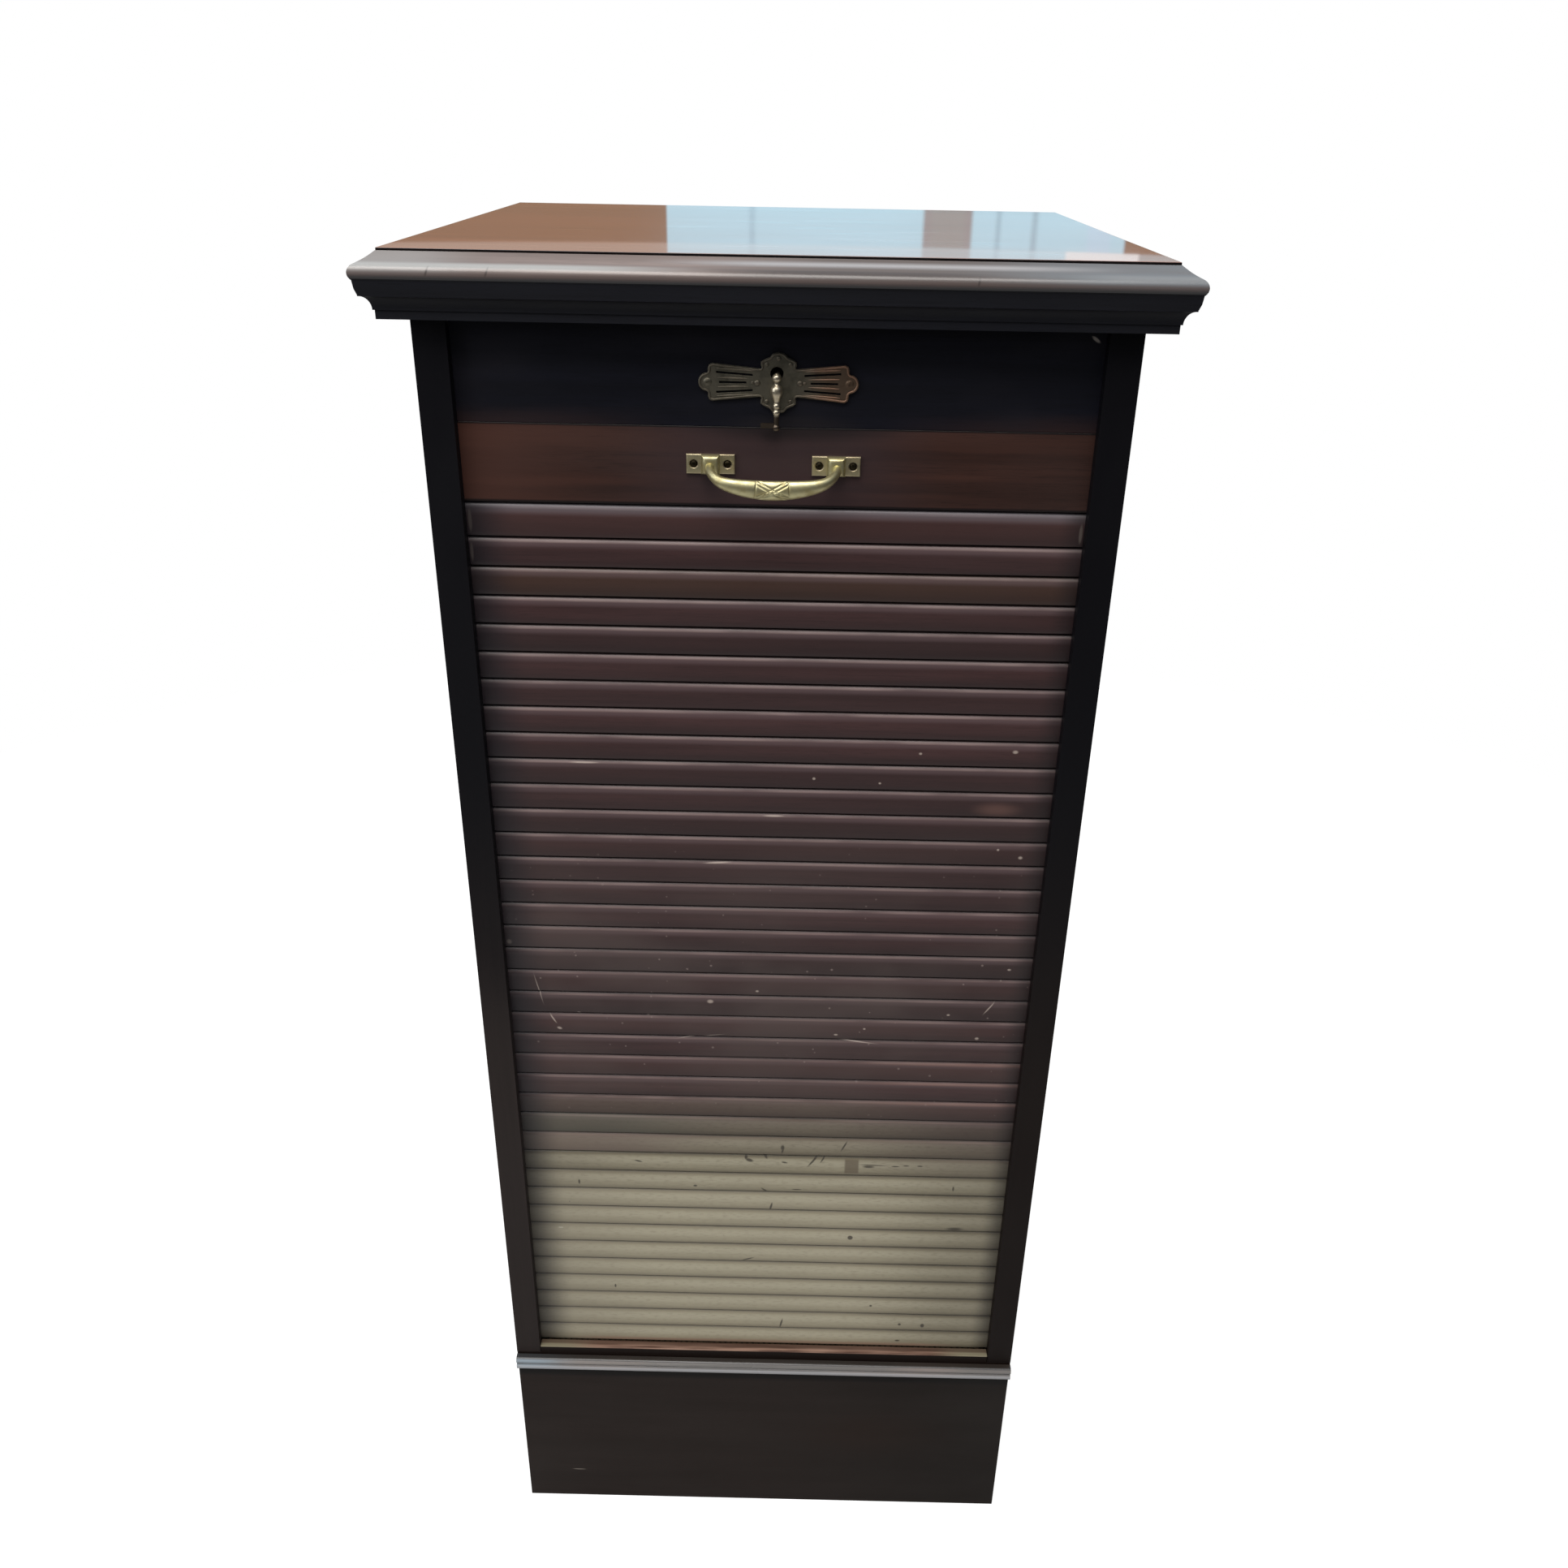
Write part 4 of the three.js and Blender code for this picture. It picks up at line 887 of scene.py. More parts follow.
class CABINET_OT_cornice(bpy.types.Operator):
    """Moulded cornice round the front and sides, mitred at the corners"""

    bl_idname = "cabinet.cornice"
    bl_label = "Cornice"

    foot_overhang = 17.8 * MM
    fillet_overhang = 19 * MM
    fillet_rise = 6 * MM
    arris_overhang = 25.9 * MM
    arris_rise = 15.3 * MM
    ovolo_overhang = 27.3 * MM
    ovolo_rise = 20 * MM
    roll_radius = 6 * MM
    roll_drop = 0.6 * MM
    roll_overhang = 30 * MM
    roll_turns = (-48, 64)
    slope_end = 14.3 * MM
    slope_rise = 12.2 * MM
    slope_sink = 0.5 * MM
    thickness = 14 * MM
    shade_drop = 4 * MM

    def section(self):
        """Overhang and height: a fillet, a cove of a quarter ellipse, an arris, a roll and a slope."""
        low, bed = CORNICE_BOTTOM, PANEL_BED
        inner = self.slope_end - self.thickness
        start, arris = low + self.fillet_rise, low + self.arris_rise
        hollow = (self.arris_overhang - self.fillet_overhang, arris - start)
        cove = arc((self.arris_overhang, start), hollow, 180, 90, 14)
        centre = (self.roll_overhang - self.roll_radius, bed - self.roll_drop)
        roll = arc(centre, (self.roll_radius, self.roll_radius), *self.roll_turns, 26)
        t = np.linspace(0, 1, 7)[1:-1, None]
        end = np.array([self.slope_end, bed + self.slope_rise])
        sunk = self.slope_sink * np.sin(math.pi * t) * np.array([-0.35, -1.0])
        slope = roll[-1] + (end - roll[-1]) * t + sunk
        foot = [(inner, low), (self.foot_overhang, low), (self.foot_overhang, start)]
        ovolo = [(self.arris_overhang, arris + 0.6 * MM), (self.ovolo_overhang, low + self.ovolo_rise)]
        return np.vstack([foot, cove, ovolo, roll, slope, end, (self.slope_end, bed), (inner, bed)])

    def execute(self, context):
        overhang, height = self.section().T
        back = np.full(len(height), CARCASS_BACK)
        front = STILE_PLANE - overhang
        rings = [
            np.stack([side * (HALF_WIDTH + overhang), y, height], axis=1)
            for side, y in ((1, back), (1, front), (-1, front), (-1, back))
        ]
        made = loose("cornice_moulding", *capped(np.array(rings)))
        mesh = dressed(made, "mahogany_cornice", "cornice", sharp=32).data
        mesh.materials.append(FINISHES["mahogany_cornice_shade"])
        centres = np.zeros(3 * len(mesh.polygons))
        mesh.polygons.foreach_get("center", centres)
        below = centres[2::3] < PANEL_BED - self.shade_drop
        mesh.polygons.foreach_set("material_index", below.astype(np.int32))
        return {"FINISHED"}


class CABINET_OT_top_panel(bpy.types.Operator):
    """French-polished top with its upper edge rounded at the front and sides"""

    bl_idname = "cabinet.top_panel"
    bl_label = "Top panel"

    edge_round = 0.5 * MM
    quirk_depth = 1.2 * MM
    quirk_rise = 12 * MM
    quirk_bevel = 0.4 * MM
    border = 0.5 * MM
    steps = 10

    def execute(self, context):
        low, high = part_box("top_panel")
        angles = np.radians(np.linspace(0, 90, self.steps + 1))
        quirk = PANEL_BED + self.quirk_rise
        rounding = self.edge_round * (1 - np.cos(angles))
        margins = [self.quirk_depth, self.quirk_depth, 0.0, *rounding, rounding[-1] + self.border]
        rounded = high.z - self.edge_round * (1 - np.sin(angles))
        heights = [low.z, quirk, quirk + self.quirk_bevel, *rounded, high.z]
        backs = [high.y] * (len(margins) - 1) + [high.y - self.border]
        rings = [
            level_ring(low.x + m, low.y + m, high.x - m, back, z)
            for m, z, back in zip(margins, heights, backs)
        ]
        made = loose("top_panel_polished", *capped(np.array(rings)))
        dressed(made, "french_polished_mahogany", "top_panel", sharp=40)
        return {"FINISHED"}


class CABINET_OT_plinth(bpy.types.Operator):
    """Plinth board with its sill, and the double-reeded strip planted on it"""

    bl_idname = "cabinet.plinth"
    bl_label = "Plinth"

    margin = 0.8 * MM
    reed_rise = 3.4 * MM
    upper_share = 0.49
    steps = 16

    def execute(self, context):
        softened("plinth_board", "mahogany_plinth", context.scene.cabinet_sizes.arris)
        low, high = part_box("plinth_moulding")
        flat, top = low.y + self.reed_rise, high.z - REEDS_DROP
        foot = low.z + self.margin
        lower = (top - foot) * (1 - self.upper_share) / 2
        upper = (top - foot) * self.upper_share / 2
        profile = [
            (high.y, low.z),
            (flat, low.z),
            *arc((flat, foot + lower), (self.reed_rise, lower), 270, 90, self.steps),
            *arc((flat, top - upper), (self.reed_rise, upper), 270, 90, self.steps)[1:],
            (high.y, top),
        ]
        made = loose("plinth_moulding_reeds", *capped(along_x(profile, np.linspace(low.x, high.x, 12))))
        dressed(made, "mahogany_moulding", "plinth_moulding", sharp=50)
        return {"FINISHED"}


class CABINET_OT_slats(bpy.types.Operator):
    """The tambour's slats, each a little out of true"""

    bl_idname = "cabinet.slats"
    bl_label = "Slats"

    edge_round = 5 * MM
    foot_round = 1.2 * MM
    crown = 0.2 * MM
    stations = 41
    seed = 38

    def profile(self, low, high):
        """A slat's section: a crowned face between a rounded upper edge and a small rounded foot."""
        r, f = self.edge_round, self.foot_round
        top = arc((low.y + self.crown + r, high.z - r), (r, r), 90, 180, 8)
        t = np.linspace(0, 1, 7)[1:-1]
        height = high.z - r + (low.z + f - (high.z - r)) * t
        face = np.stack([low.y + self.crown * (2 * t - 1) ** 2, height], axis=1)
        foot = arc((low.y + self.crown + f, low.z + f), (f, f), 180, 270, 3)
        return np.array([(high.y, low.z), (high.y, high.z), *top, *face, *foot])

    def execute(self, context):
        waviness = context.scene.cabinet_sizes.slat_waviness
        dice = np.random.default_rng(self.seed)
        for number in range(1, SLAT_COUNT + 1):
            node = f"slat_{number:02d}"
            low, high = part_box(node)
            x = np.linspace(low.x, high.x, self.stations)
            rings = along_x(self.profile(low, high), x)
            phase = dice.uniform(0, 2 * math.pi, 4)
            turn = math.pi * (x - low.x) / (high.x - low.x)
            bow = 0.5 + 0.25 * np.sin(2 * turn + phase[0]) + 0.25 * np.sin(7 * turn + phase[1])
            rings[:, 2:, 1] += (waviness * bow)[:, None]
            sag = np.sin(3 * turn + phase[2]) * np.sin(turn)
            rings[:, 3:9, 2] -= (0.6 * waviness * (1 + sag) / 2)[:, None]
            rings[:, 1:, 1] = np.minimum(rings[:, 1:, 1], high.y)
            made = loose(f"{node}_finish", *capped(rings))
            run_down(dressed(made, "mahogany_slats", node, sharp=50))
        return {"FINISHED"}


class CABINET_OT_canvas(bpy.types.Operator):
    """Linen glued across the backs of the slats"""

    bl_idname = "cabinet.canvas"
    bl_label = "Canvas"

    columns = 60
    rows_per_slat = 4

    def execute(self, context):
        low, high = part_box("canvas_backing")
        rows, columns = self.rows_per_slat * SLAT_COUNT, self.columns
        x, z = np.meshgrid(np.linspace(low.x, high.x, columns), np.linspace(low.z, high.z, rows))
        # The cloth is thinnest where two slats meet.
        seam = np.cos(2 * math.pi * (z - SILL_TOP) / SLAT_PITCH) ** 8
        thick = high.y - low.y
        front, back = low.y + 0.1 * thick * (1 - seam), high.y - 0.25 * thick * seam
        sheets = np.concatenate([np.stack([x, y, z], axis=-1).reshape(-1, 3) for y in (front, back)])
        size = rows * columns
        faces = quads(rows, columns, closed=False)
        faces += [[size + n for n in reversed(face)] for face in faces]
        index = np.arange(size).reshape(rows, columns)
        rim = np.concatenate([index[0], index[1:, -1], index[-1, -2::-1], index[-2:0:-1, 0]])
        after = np.roll(rim, -1)
        faces += np.stack([rim, rim + size, after + size, after], axis=1).tolist()
        made = dressed(loose("canvas_sheet", sheets, faces), "glued_linen", "canvas_backing", sharp=60)
        run_down(made)
        return {"FINISHED"}


class CABINET_OT_rails(bpy.types.Operator):
    """The fixed lock rail and the leading rail that the shutter hangs on"""

    bl_idname = "cabinet.rails"
    bl_label = "Rails"

    def execute(self, context):
        arris = 0.5 * context.scene.cabinet_sizes.arris
        softened("lock_rail", "mahogany_lock_rail", arris)
        softened("leading_rail", "mahogany_leading_rail", arris, "shutter")
        return {"FINISHED"}


class CABINET_OT_pull(bpy.types.Operator):
    """Cast brass pull: an engraved grip between two screwed feet"""

    bl_idname = "cabinet.pull"
    bl_label = "Pull"

    foot_spacing = 90 * MM
    foot_width = 35 * MM
    foot_height = 14.2 * MM
    foot_thickness = 2.5 * MM
    foot_round = 0.9 * MM
    boss_width = 13.4 * MM
    boss_depth = 7.4 * MM
    boss_round = 4 * MM
    root_proud = 1.9 * MM
    grip_drop = 12.6 * MM
    grip_end_drop = 8 * MM
    grip_end_inset = 9 * MM
    grip_proud = 25.4 * MM
    grip_end_proud = 23.4 * MM
    neck_proud = 13.4 * MM
    neck_drop = 2.5 * MM
    neck_radius = 3.1 * MM
    grip_half_depth = 4 * MM
    grip_half_height = 7 * MM
    motif_half = 12 * MM
    band_half = 2.6 * MM
    band_slope = 0.5
    rib_offset = 4 * MM
    groove = 0.55 * MM
    screw_gap = 0.25 * MM
    # How much closer the stations stand in the middle, where the motif is
    crowding = 0.09
    # Radius beyond the screw's own and height of a screw's recess
    recess_mm = ((0, -1.6), (0, -0.6), (0.7, 0.2), (0.7, 1))
    stations = 361
    sides = 96

    def engraving(self, x, rise):
        """Depth share from 0 to 1 of two bands that cross in an X, drawn by grooves along their edges."""
        inside = np.abs(x) < self.motif_half
        cut = np.zeros_like(x)
        for sign in (-1, 1):
            off = np.abs(rise - sign * self.band_slope * x) * math.cos(math.atan(self.band_slope))
            cut = np.maximum(cut, np.exp(-(((off - self.band_half / 2) / self.groove) ** 2)))
            ribs = np.exp(-(((x + sign * self.rib_offset - sign * 0.5 * rise) / self.groove) ** 2))
            cut = np.maximum(cut, 0.6 * ribs * (off < self.band_half / 2))
        ends = np.exp(-(((np.abs(x) - self.motif_half) / self.groove) ** 2))
        return np.maximum(cut * inside, ends)

    def grip(self, middle, level, depth):
        """Elliptical rings along a curve through feet, necks and middle, with the motif sunk in front."""
        foot = self.foot_spacing / 2
        half = [
            (foot, RAIL_FACE - self.root_proud, level),
            (foot, RAIL_FACE - self.neck_proud, level - self.neck_drop),
            (foot - self.grip_end_inset, RAIL_FACE - self.grip_end_proud, level - self.grip_end_drop),
        ]
        lowest = (0, RAIL_FACE - self.grip_proud, level - self.grip_drop)
        t = np.linspace(0, 1, self.stations)
        points = [*half, lowest, *[(-x, y, z) for x, y, z in reversed(half)]]
        line = smooth_line(points, t + self.crowding * np.sin(2 * math.pi * t))
        tangent = headings(line)
        across = np.cross((0.0, 0.0, 1.0), tangent)
        across /= np.linalg.norm(across, axis=1)[:, None]
        rise = np.cross(tangent, across)
        swell = np.cos(np.clip(np.abs(line[:, :1]) / foot, 0, 1) * math.pi / 2)
        deep = self.neck_radius + (self.grip_half_depth - self.neck_radius) * swell
        high = self.neck_radius + (self.grip_half_height - self.neck_radius) * swell
        angle = np.linspace(-math.pi, math.pi, self.sides, endpoint=False)
        motif = self.engraving(np.repeat(line[:, :1], self.sides, axis=1), high * np.sin(angle))
        sunk = depth * motif * np.clip(np.cos(angle) * 2.5, 0, 1)
        out = ((deep - sunk) * np.cos(angle))[..., None]
        up = ((high - 0.5 * sunk) * np.sin(angle))[..., None]
        rings = line[:, None] + across[:, None] * out + rise[:, None] * up
        return capped(rings + np.array([middle, 0, 0]))

    def execute(self, context):
        sizes = context.scene.cabinet_sizes
        low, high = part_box("brass_pull")
        middle, back = (low.x + high.x) / 2, high.y
        half = self.foot_height / 2
        level, front = high.z - half, back - self.foot_thickness
        made = loose("brass_pull_casting", *self.grip(middle, level, sizes.engraving_depth))
        feet, recesses = [], []
        for name, width, near, far, radius in (
            ("plate", self.foot_width, front, back, self.foot_round),
            ("boss", self.boss_width, back - self.boss_depth, (front + back) / 2, self.boss_round),
        ):
            for sign in (-1, 1):
                x = middle + sign * self.foot_spacing / 2
                ends = (x - width / 2, near, level - half), (x + width / 2, far, level + half)
                feet.append(loose(name, *cushion_slab(*ends, radius)))
        worked(made, feet, "UNION")
        radius = sizes.screw_radius
        profile = [(radius + more * MM, z * MM) for more, z in self.recess_mm]
        profile = [(0, profile[0][1]), *profile, (0, profile[-1][1])]
        for sign, foot in ((-1, "left"), (1, "right")):
            for side in (-1, 1):
                x = middle + sign * self.foot_spacing / 2 + side * (self.boss_width + self.foot_width) / 4
                recesses.append(loose("recess", *lathe(profile, (x, front, level), 32, FACING_FRONT)))
                name = f"pull_screw_{foot}_{'outer' if side == sign else 'inner'}"
                place, turn = (x, front + SCREW_RISE, level), 35 + 40 * sign + 25 * side
                dome_screw(name, place, radius - self.screw_gap, turn, "screw_brass", "shutter")
        worked(made, recesses, "DIFFERENCE")
        dressed(made, "sand_cast_brass", "brass_pull", "shutter", sharp=40)
        return {"FINISHED"}


class CABINET_OT_escutcheon(bpy.types.Operator):
    """Winged escutcheon with a raised rim, ribs between its slots, and two screws"""

    bl_idname = "cabinet.escutcheon"
    bl_label = "Escutcheon"

    centre_drop = 4.2 * MM
    shift = 1.2 * MM
    bead = 1.5 * MM
    bead_rise = 0.65 * MM
    rim_inset = 1 * MM
    screw_reach = 49.6 * MM
    screw_radius = 3.2 * MM
    bump_root = 0.4 * MM
    rim_points = 320
    rib_points = 14
    # A quarter of the outline, from the top to the right-hand tip
    outline_mm = (
        (0, 20.8), (4.2, 19.7), (6.3, 17.4), (10.2, 15.7), (12.4, 14.2), (12.3, 11.9), (12.2, 10.1),
        (16, 9.7), (28, 10.9), (40, 12.1), (46.2, 12.7), (48.6, 11.4), (49.6, 7), (53.4, 5.2),
        (55.6, 2.4), (56.1, 0),
    )
    # The ends of the ribs, and the bumps' places and radii
    ribs_mm = ((21, 2.6, 42.5, 3.2), (21, -2.6, 42.5, -3.2), (17.5, 7.9, 43, 9.4), (17.5, -7.9, 43, -9.4))
    bumps_mm = (
        (14.9, 0, 2.1), (18.2, 0, 1.1), (0, 16.6, 1.6), (8.2, 12.6, 1.5), (8.2, -12.6, 1.5), (0, -16.6, 1.6),
    )

    def on_plate(self, x, z):
        """Points on the plate's face at places that are given from the plate's middle."""
        x, z = np.broadcast_arrays(x, z)
        height = KEY_AXIS[2] - self.centre_drop + z
        return np.stack([self.shift + x, np.full(x.shape, PLATE_FACE), height], axis=-1)

    def bead_along(self, name, line, closed=False):
        """A half-round bead of the bead's width and rise along a line in the plate's face."""
        forward = headings(line, closed)
        side = np.stack([-forward[:, 2], np.zeros(len(line)), forward[:, 0]], axis=1)
        angle = np.linspace(0, 2 * math.pi, 12, endpoint=False)
        taper = np.sqrt(np.sin(np.linspace(0.04, 0.96, len(line)) * math.pi))[:, None]
        if closed:
            taper = np.ones((len(line), 1))
        rings = (
            line[:, None]
            + side[:, None] * (self.bead / 2 * taper * np.cos(angle))[..., None]
            + np.array([0, -1.0, 0]) * (self.bead_rise * taper * np.sin(angle))[..., None]
        )
        if not closed:
            return loose(name, *capped(rings))
        rings = np.concatenate([rings, rings[:1]])
        return loose(name, rings, quads(len(rings), len(angle)))

    def execute(self, context):
        edge = context.scene.cabinet_sizes.plate_edge
        softened("escutcheon", "tarnished_brass", edge, segments=2, name="escutcheon_plate")
        quarter = np.array(self.outline_mm) * MM
        right = np.concatenate([quarter, (quarter * (1, -1))[-2::-1]])
        ring = np.concatenate([right, (right * (-1, 1))[-2:0:-1]])
        points = self.on_plate(*np.concatenate([ring, ring[:1]]).T)
        rim = smooth_line(points, np.linspace(0, 1, self.rim_points, endpoint=False))
        forward = headings(rim, closed=True)
        rim += self.rim_inset * np.stack([forward[:, 2], 0 * forward[:, 1], -forward[:, 0]], axis=1)
        relief = self.bead_along("rim", rim, closed=True)
        raised = []
        t = np.linspace(0, 1, self.rib_points)
        for x0, z0, x1, z1 in self.ribs_mm:
            for sign in (-1, 1):
                line = self.on_plate(sign * (x0 + (x1 - x0) * t) * MM, (z0 + (z1 - z0) * t) * MM)
                raised.append(self.bead_along("rib", line))
        for x, z, radius in self.bumps_mm:
            cap = arc((0, 0), (radius * MM, 0.5 * radius * MM), 0, 90, 6)
            profile = [(0, -self.bump_root), (radius * MM, -self.bump_root), *cap[:-1], (0, cap[-1, 1])]
            for sign in (-1, 1) if x else (1,):
                place = self.on_plate(sign * x * MM, z * MM)
                raised.append(loose("bump", *lathe(profile, place, 20, FACING_FRONT)))
        worked(relief, raised, "UNION")
        relief.name = "escutcheon_relief"
        dressed(relief, "rubbed_brass", sharp=50)
        for side, sign, turn in (("left", -1, 20), ("right", 1, 70)):
            name, place = f"escutcheon_screw_{side}", self.on_plate(sign * self.screw_reach, 0)
            dome_screw(name, place, self.screw_radius, turn, "tarnished_brass")
        return {"FINISHED"}


class CABINET_OT_lock(bpy.types.Operator):
    """Steel lock case and hook behind the lock rail"""

    bl_idname = "cabinet.lock"
    bl_label = "Lock"

    def execute(self, context):
        for node, body in (("lock_case", "cabinet"), ("lock_hook", "hook")):
            softened(node, "plain_steel", context.scene.cabinet_sizes.plate_edge, body, 2)
        return {"FINISHED"}


class CABINET_OT_key(bpy.types.Operator):
    """Brass key: a barrel in the lock and a turned stem that hangs from its pin"""

    bl_idname = "cabinet.key"
    bl_label = "Key"

    stem_length = 36.1 * MM
    ball_radius = 3.2 * MM
    flag_reach = 11 * MM
    flag_height = 3.4 * MM
    flag_thickness = 2 * MM
    flag_rise = 3.6 * MM
    fork_half = 1.1 * MM
    fork_reach = 2 * MM
    fork_clear = 1 * MM
    turned_rings = 150
    sides = 40
    # Radius and distance below the pin: an egg, two beads, a plain shank and a foot
    profile_mm = (
        (1.8, 2.2), (1.8, 4.15), (2.67, 5.05), (3.6, 6.1), (4.1, 7.4), (4.3, 8.84), (4.15, 10.4),
        (3.7, 11.8), (3.05, 13.3), (2.4, 14.7), (1.9, 16.2), (1.9, 17.3), (2.4, 17.8), (2.65, 18.9),
        (2.4, 20), (1.9, 20.6), (1.9, 21.8), (2.4, 22.3), (2.65, 23.4), (2.4, 24.5), (1.85, 25.1),
        (1.8, 31.8), (2.5, 33.2), (2.5, 34.4), (2.1, 35.6), (1.4, 36.1),
    )

    def execute(self, context):
        edge = 0.5 * context.scene.cabinet_sizes.plate_edge
        softened("key_barrel", "turned_brass", edge, "key", 2)
        x, y, z = KEY_AXIS
        radii, drops = np.array(self.profile_mm).T
        fine = np.linspace(drops[0], drops[-1], self.turned_rings)
        turned = np.interp(fine, drops, radii)
        turned = np.convolve(np.pad(turned, 1, mode="edge"), (0.25, 0.5, 0.25), mode="valid")
        profile = [(r * MM, -d * MM) for r, d in zip(turned[::-1], fine[::-1])]
        profile = [(0, profile[0][1]), *profile, (0, profile[-1][1])]
        made = loose("key_stem_turned", *lathe(profile, KEY_AXIS, self.sides))
        ball = arc((0, 0), (self.ball_radius, self.ball_radius), -90, 90, 24)
        ball[[0, -1], 0] = 0
        flag_z = z - self.stem_length + self.flag_rise
        thin, tall = self.flag_thickness / 2, self.flag_height / 2
        flag = block((x - self.flag_reach, y - thin, flag_z - tall), (x, y + thin, flag_z + tall))
        worked(made, [loose("ball", *lathe(ball, KEY_AXIS, self.sides)), loose("flag", *flag)], "UNION")
        half, near, far = self.fork_half, self.fork_reach, self.ball_radius + self.fork_clear
        fork = block((x - half, y - near, z - near), (x + half, y + far, z + far))
        worked(made, [loose("fork", *fork)], "DIFFERENCE")
        dressed(made, "turned_brass", "key_stem", "stem", sharp=40)
        return {"FINISHED"}


# Studio


class CABINET_OT_stage(bpy.types.Operator):
    """Camera, lamps, sky and pale floor"""

    bl_idname = "cabinet.stage"
    bl_label = "Stage"

    lens_mm = 30.68
    sensor_mm = 36
    eye = (0.01575, -1.176, 1.3462)
    turns = (-0.4649, -0.0182, 0.0059)
    aim = Vector((0, STILE_PLANE, 0.8))
    floor_radius = 2.4
    # Bearing, half width, colour and amount of what stands behind the camera, in degrees from the back
    behind = (
        (-2.0, 0.12, "#9fc3d6", 0.5),
        (5.72, 0.95, "#8f7264", 0.75),
        (5.72, 0.66, "#a1a3a1", 0.95),
        (7.7, 0.1, "#8fb0c2", 0.5),
        (9.1, 0.12, "#8fa9b8", 0.5),
        (11.6, 0.45, "#cfe9ff", 0.6),
    )

    def camera(self):
        """A camera at the place and angle that the photograph was taken from."""
        rx, ry, rz = self.turns
        turned = Matrix.Rotation(rz, 3, "Z") @ Matrix.Rotation(rx, 3, "X") @ Matrix.Rotation(ry, 3, "Y")
        right, forward, up = (turned.col[n] for n in range(3))
        made = placed("camera", bpy.data.cameras.new("camera"))
        made.data.lens = self.lens_mm
        made.data.sensor_width = self.sensor_mm
        made.data.clip_start = 0.02
        made.matrix_world = Matrix.Translation(self.eye) @ Matrix([right, up, -forward]).transposed().to_4x4()
        bpy.context.scene.camera = made

    def lamp(self, name, place, size, watts, colour):
        """A soft rectangular lamp that faces the curtain."""
        made = placed(name, bpy.data.lights.new(name, "AREA"))
        made.data.shape = "RECTANGLE"
        made.data.size, made.data.size_y = size
        made.data.energy = watts
        made.data.color = srgb(colour)[:3]
        turned = (self.aim - Vector(place)).to_track_quat("-Z", "Y")
        made.matrix_world = Matrix.Translation(place) @ turned.to_matrix().to_4x4()

    def floor(self):
        """A round floor that the camera sees as white, with the cabinet's soft shadow on it."""
        angles = np.linspace(0, 2 * math.pi, 96, endpoint=False)
        ring = np.stack([np.cos(angles), np.sin(angles), 0 * angles], axis=1) * self.floor_radius
        mesh = bpy.data.meshes.new("floor")
        mesh.from_pydata(ring.tolist(), [], [list(range(len(angles)))])
        material = bpy.data.materials.new("pale_floor")
        mesh.materials.append(material)
        material.use_nodes = True
        tree = material.node_tree
        tree.nodes.clear()
        matt = add(tree, "BsdfDiffuse", {"Color": srgb("#a8a8a8")}).outputs[0]
        glow = add(tree, "Emission", {"Color": (1, 1, 1, 1), "Strength": 0.78}).outputs[0]
        seen = add(tree, "AddShader", {0: matt, 1: glow}).outputs[0]
        camera_ray = add(tree, "LightPath").outputs["Is Camera Ray"]
        mixed = add(tree, "MixShader", {0: camera_ray, 1: matt, 2: seen}).outputs[0]
        add(tree, "OutputMaterial", {"Surface": mixed})
        placed("floor", mesh)

    def sky(self):
        """White to the camera. Reflections see a room: dark ahead of the front, pale and bluish behind.

        Diffuse light is brighter from above than from below.
        """
        world = bpy.data.worlds.new("room")
        bpy.context.scene.world = world
        p = Paint(world, "Generated")
        bearing = p.worked_out(p.x, ("ARCTAN2", p.y), ("DEGREES", 0))
        left, right = p.share(bearing, -5.3, -5.45), p.share(bearing, 12.5, 12.7)
        ledge = p.times(p.share(p.z, 0.0806, 0.0816), p.share(p.z, 0.16, 0.12))
        soft = p.mixed(srgb("#6b6864"), srgb("#f2f2f2"), p.share(p.z, -0.5, 0.9))
        back = p.mixed(srgb("#c6ecfc"), srgb("#b9c6d2"), p.share(p.z, 0.1, 0.5))
        for at, half, code, amount in self.behind:
            back = p.layered(back, (code, amount, p.band(bearing, at - half, at + half, 0.12)))
        back = p.layered(back, ("#90755f", 1.0, p.most(left, right), p.share(p.z, 0.5, 0.3)))
        sheen = p.mixed(srgb("#e0f2fa"), srgb("#dccabf"), left)
        back = p.mixed(back, sheen, p.times(ledge, 0.5))
        back = p.layered(back, ("#ffffff", 1.0, p.band(bearing, 10.4, 13.2, 0.1), ledge))
        ahead = p.mixed(srgb("#0c0d16"), srgb("#9aa6b8"), p.share(p.z, 0.25, 0.75))
        room = p.mixed(ahead, back, p.share(p.y, -0.15, 0.12))
        rays = p.add("LightPath").outputs
        seen = p.mixed(soft, room, rays["Is Glossy Ray"])
        for kind in ("Is Transmission Ray", "Is Camera Ray"):
            seen = p.mixed(seen, (1, 1, 1, 1), rays[kind])
        shader = p.add("Background", {"Color": seen, "Strength": 1.0})
        p.add("OutputWorld", {"Surface": shader.outputs[0]})

    def execute(self, context):
        context.scene.view_settings.view_transform = "Standard"
        self.camera()
        self.lamp("ceiling_lamp", (-0.3, -1.3, 3.0), (1.8, 1.2), 44, "#fffaf4")
        self.lamp("window_lamp", (-2.4, -1.6, 2.2), (1.4, 1.4), 26, "#f6faff")
        self.floor()
        self.sky()
        return {"FINISHED"}


OPERATORS = (
    CABINET_OT_carcass,
    CABINET_OT_cornice,
    CABINET_OT_top_panel,
    CABINET_OT_plinth,
    CABINET_OT_slats,
    CABINET_OT_canvas,
    CABINET_OT_rails,
    CABINET_OT_pull,
    CABINET_OT_escutcheon,
    CABINET_OT_lock,
    CABINET_OT_key,
    CABINET_OT_stage,
)


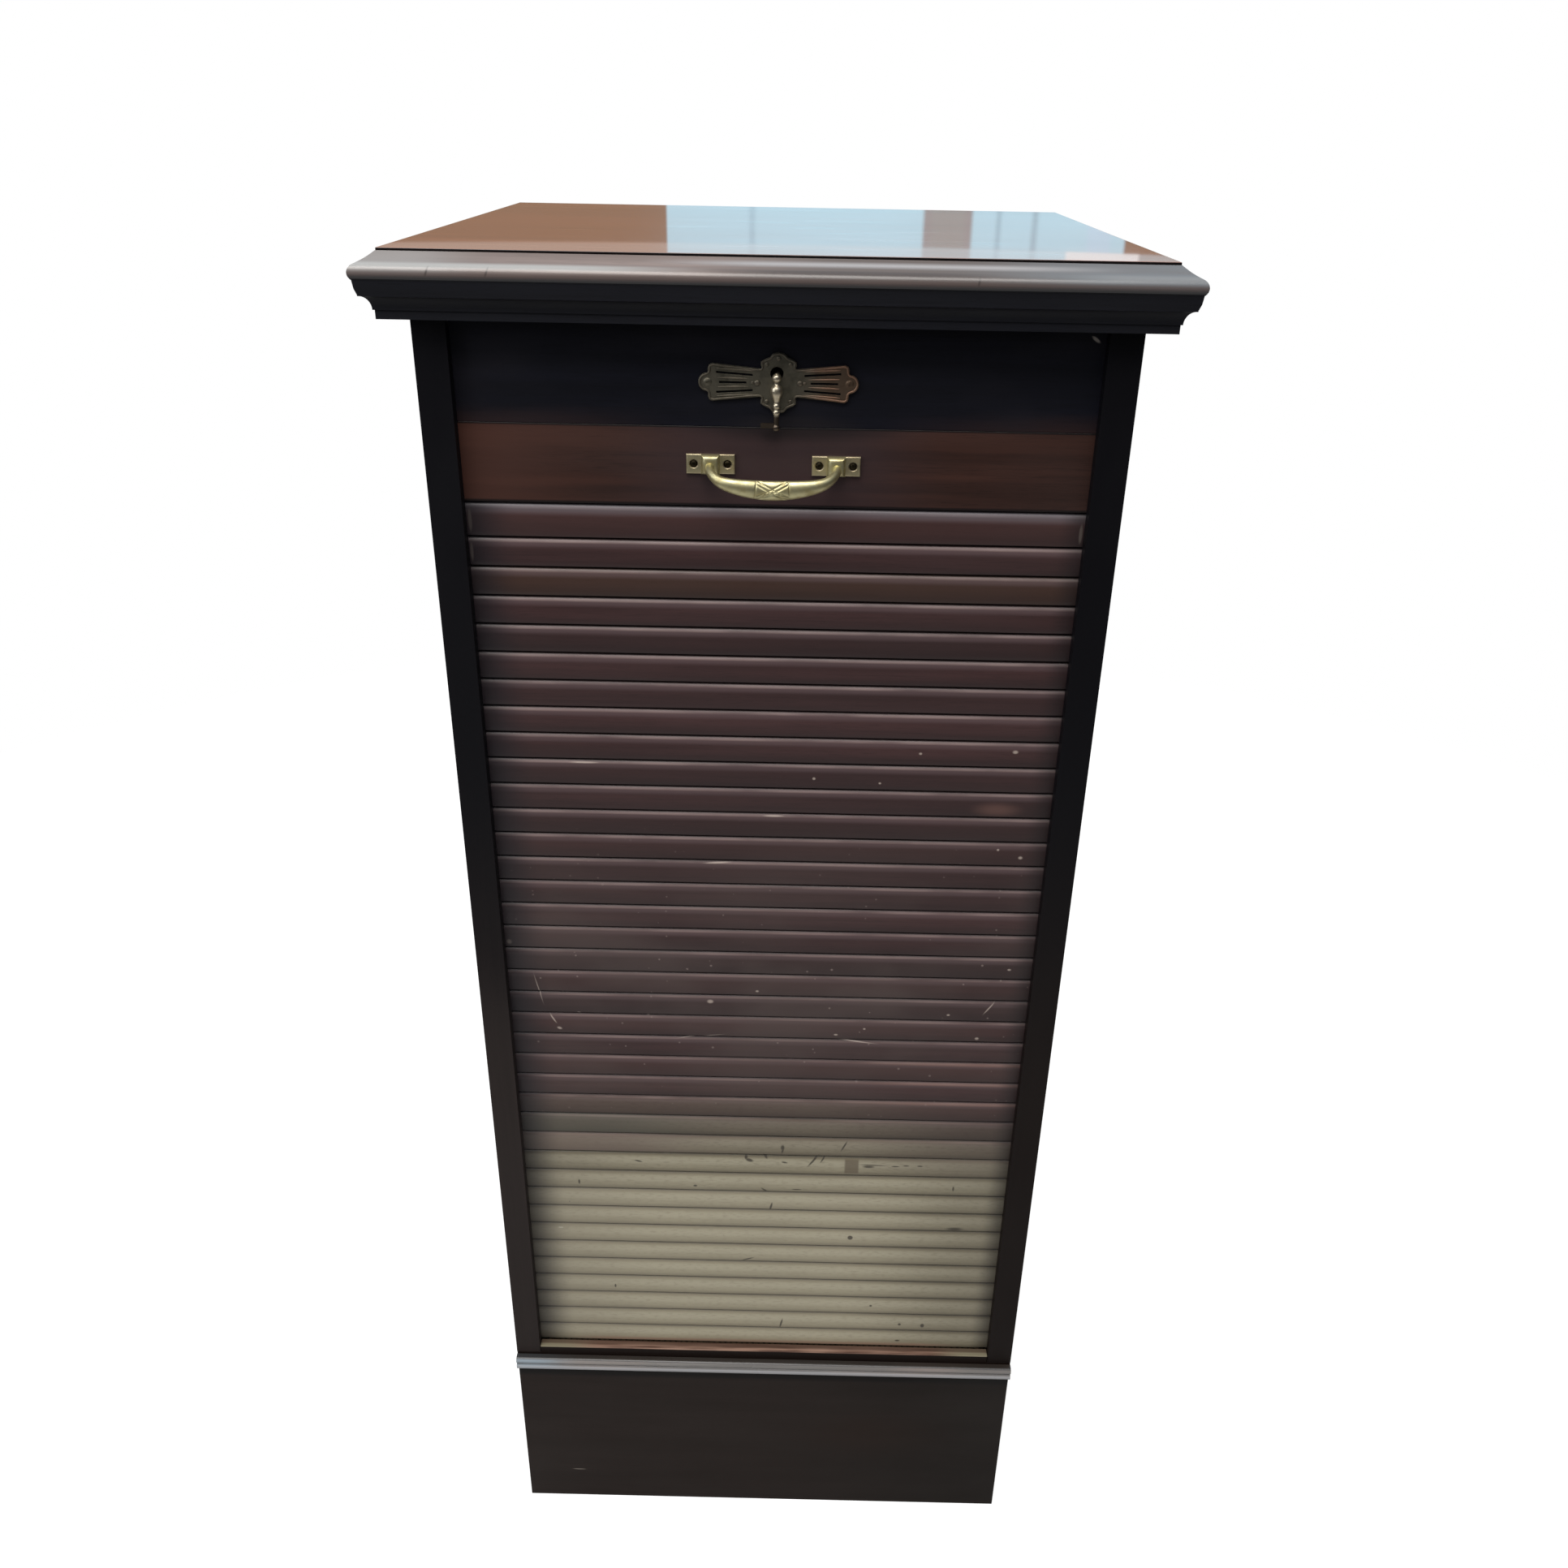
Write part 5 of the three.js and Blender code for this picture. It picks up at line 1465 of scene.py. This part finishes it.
class CABINET_PT_build(bpy.types.Panel):
    """Lists the cabinet's sizes, colours and pieces"""

    bl_label = "Tambour cabinet"
    bl_space_type = "VIEW_3D"
    bl_region_type = "UI"
    bl_category = "Cabinet"

    def draw(self, context):
        scene = context.scene
        for group in (scene.cabinet_sizes, scene.cabinet_colours):
            for name in group.__annotations__:
                self.layout.prop(group, name)
        for operator in OPERATORS:
            self.layout.operator(operator.bl_idname)


CLASSES = (CabinetSizes, CabinetColours, *OPERATORS, CABINET_PT_build)


def register():
    for made in CLASSES:
        bpy.utils.register_class(made)
    bpy.types.Scene.cabinet_sizes = bpy.props.PointerProperty(type=CabinetSizes)
    bpy.types.Scene.cabinet_colours = bpy.props.PointerProperty(type=CabinetColours)


def unregister():
    del bpy.types.Scene.cabinet_colours
    del bpy.types.Scene.cabinet_sizes
    for made in reversed(CLASSES):
        bpy.utils.unregister_class(made)


def main():
    """Builds the stage and every piece."""
    register()
    make_finishes()
    for operator in OPERATORS:
        group, name = operator.bl_idname.split(".")
        getattr(getattr(bpy.ops, group), name)()


if __name__ == "__main__":
    main()
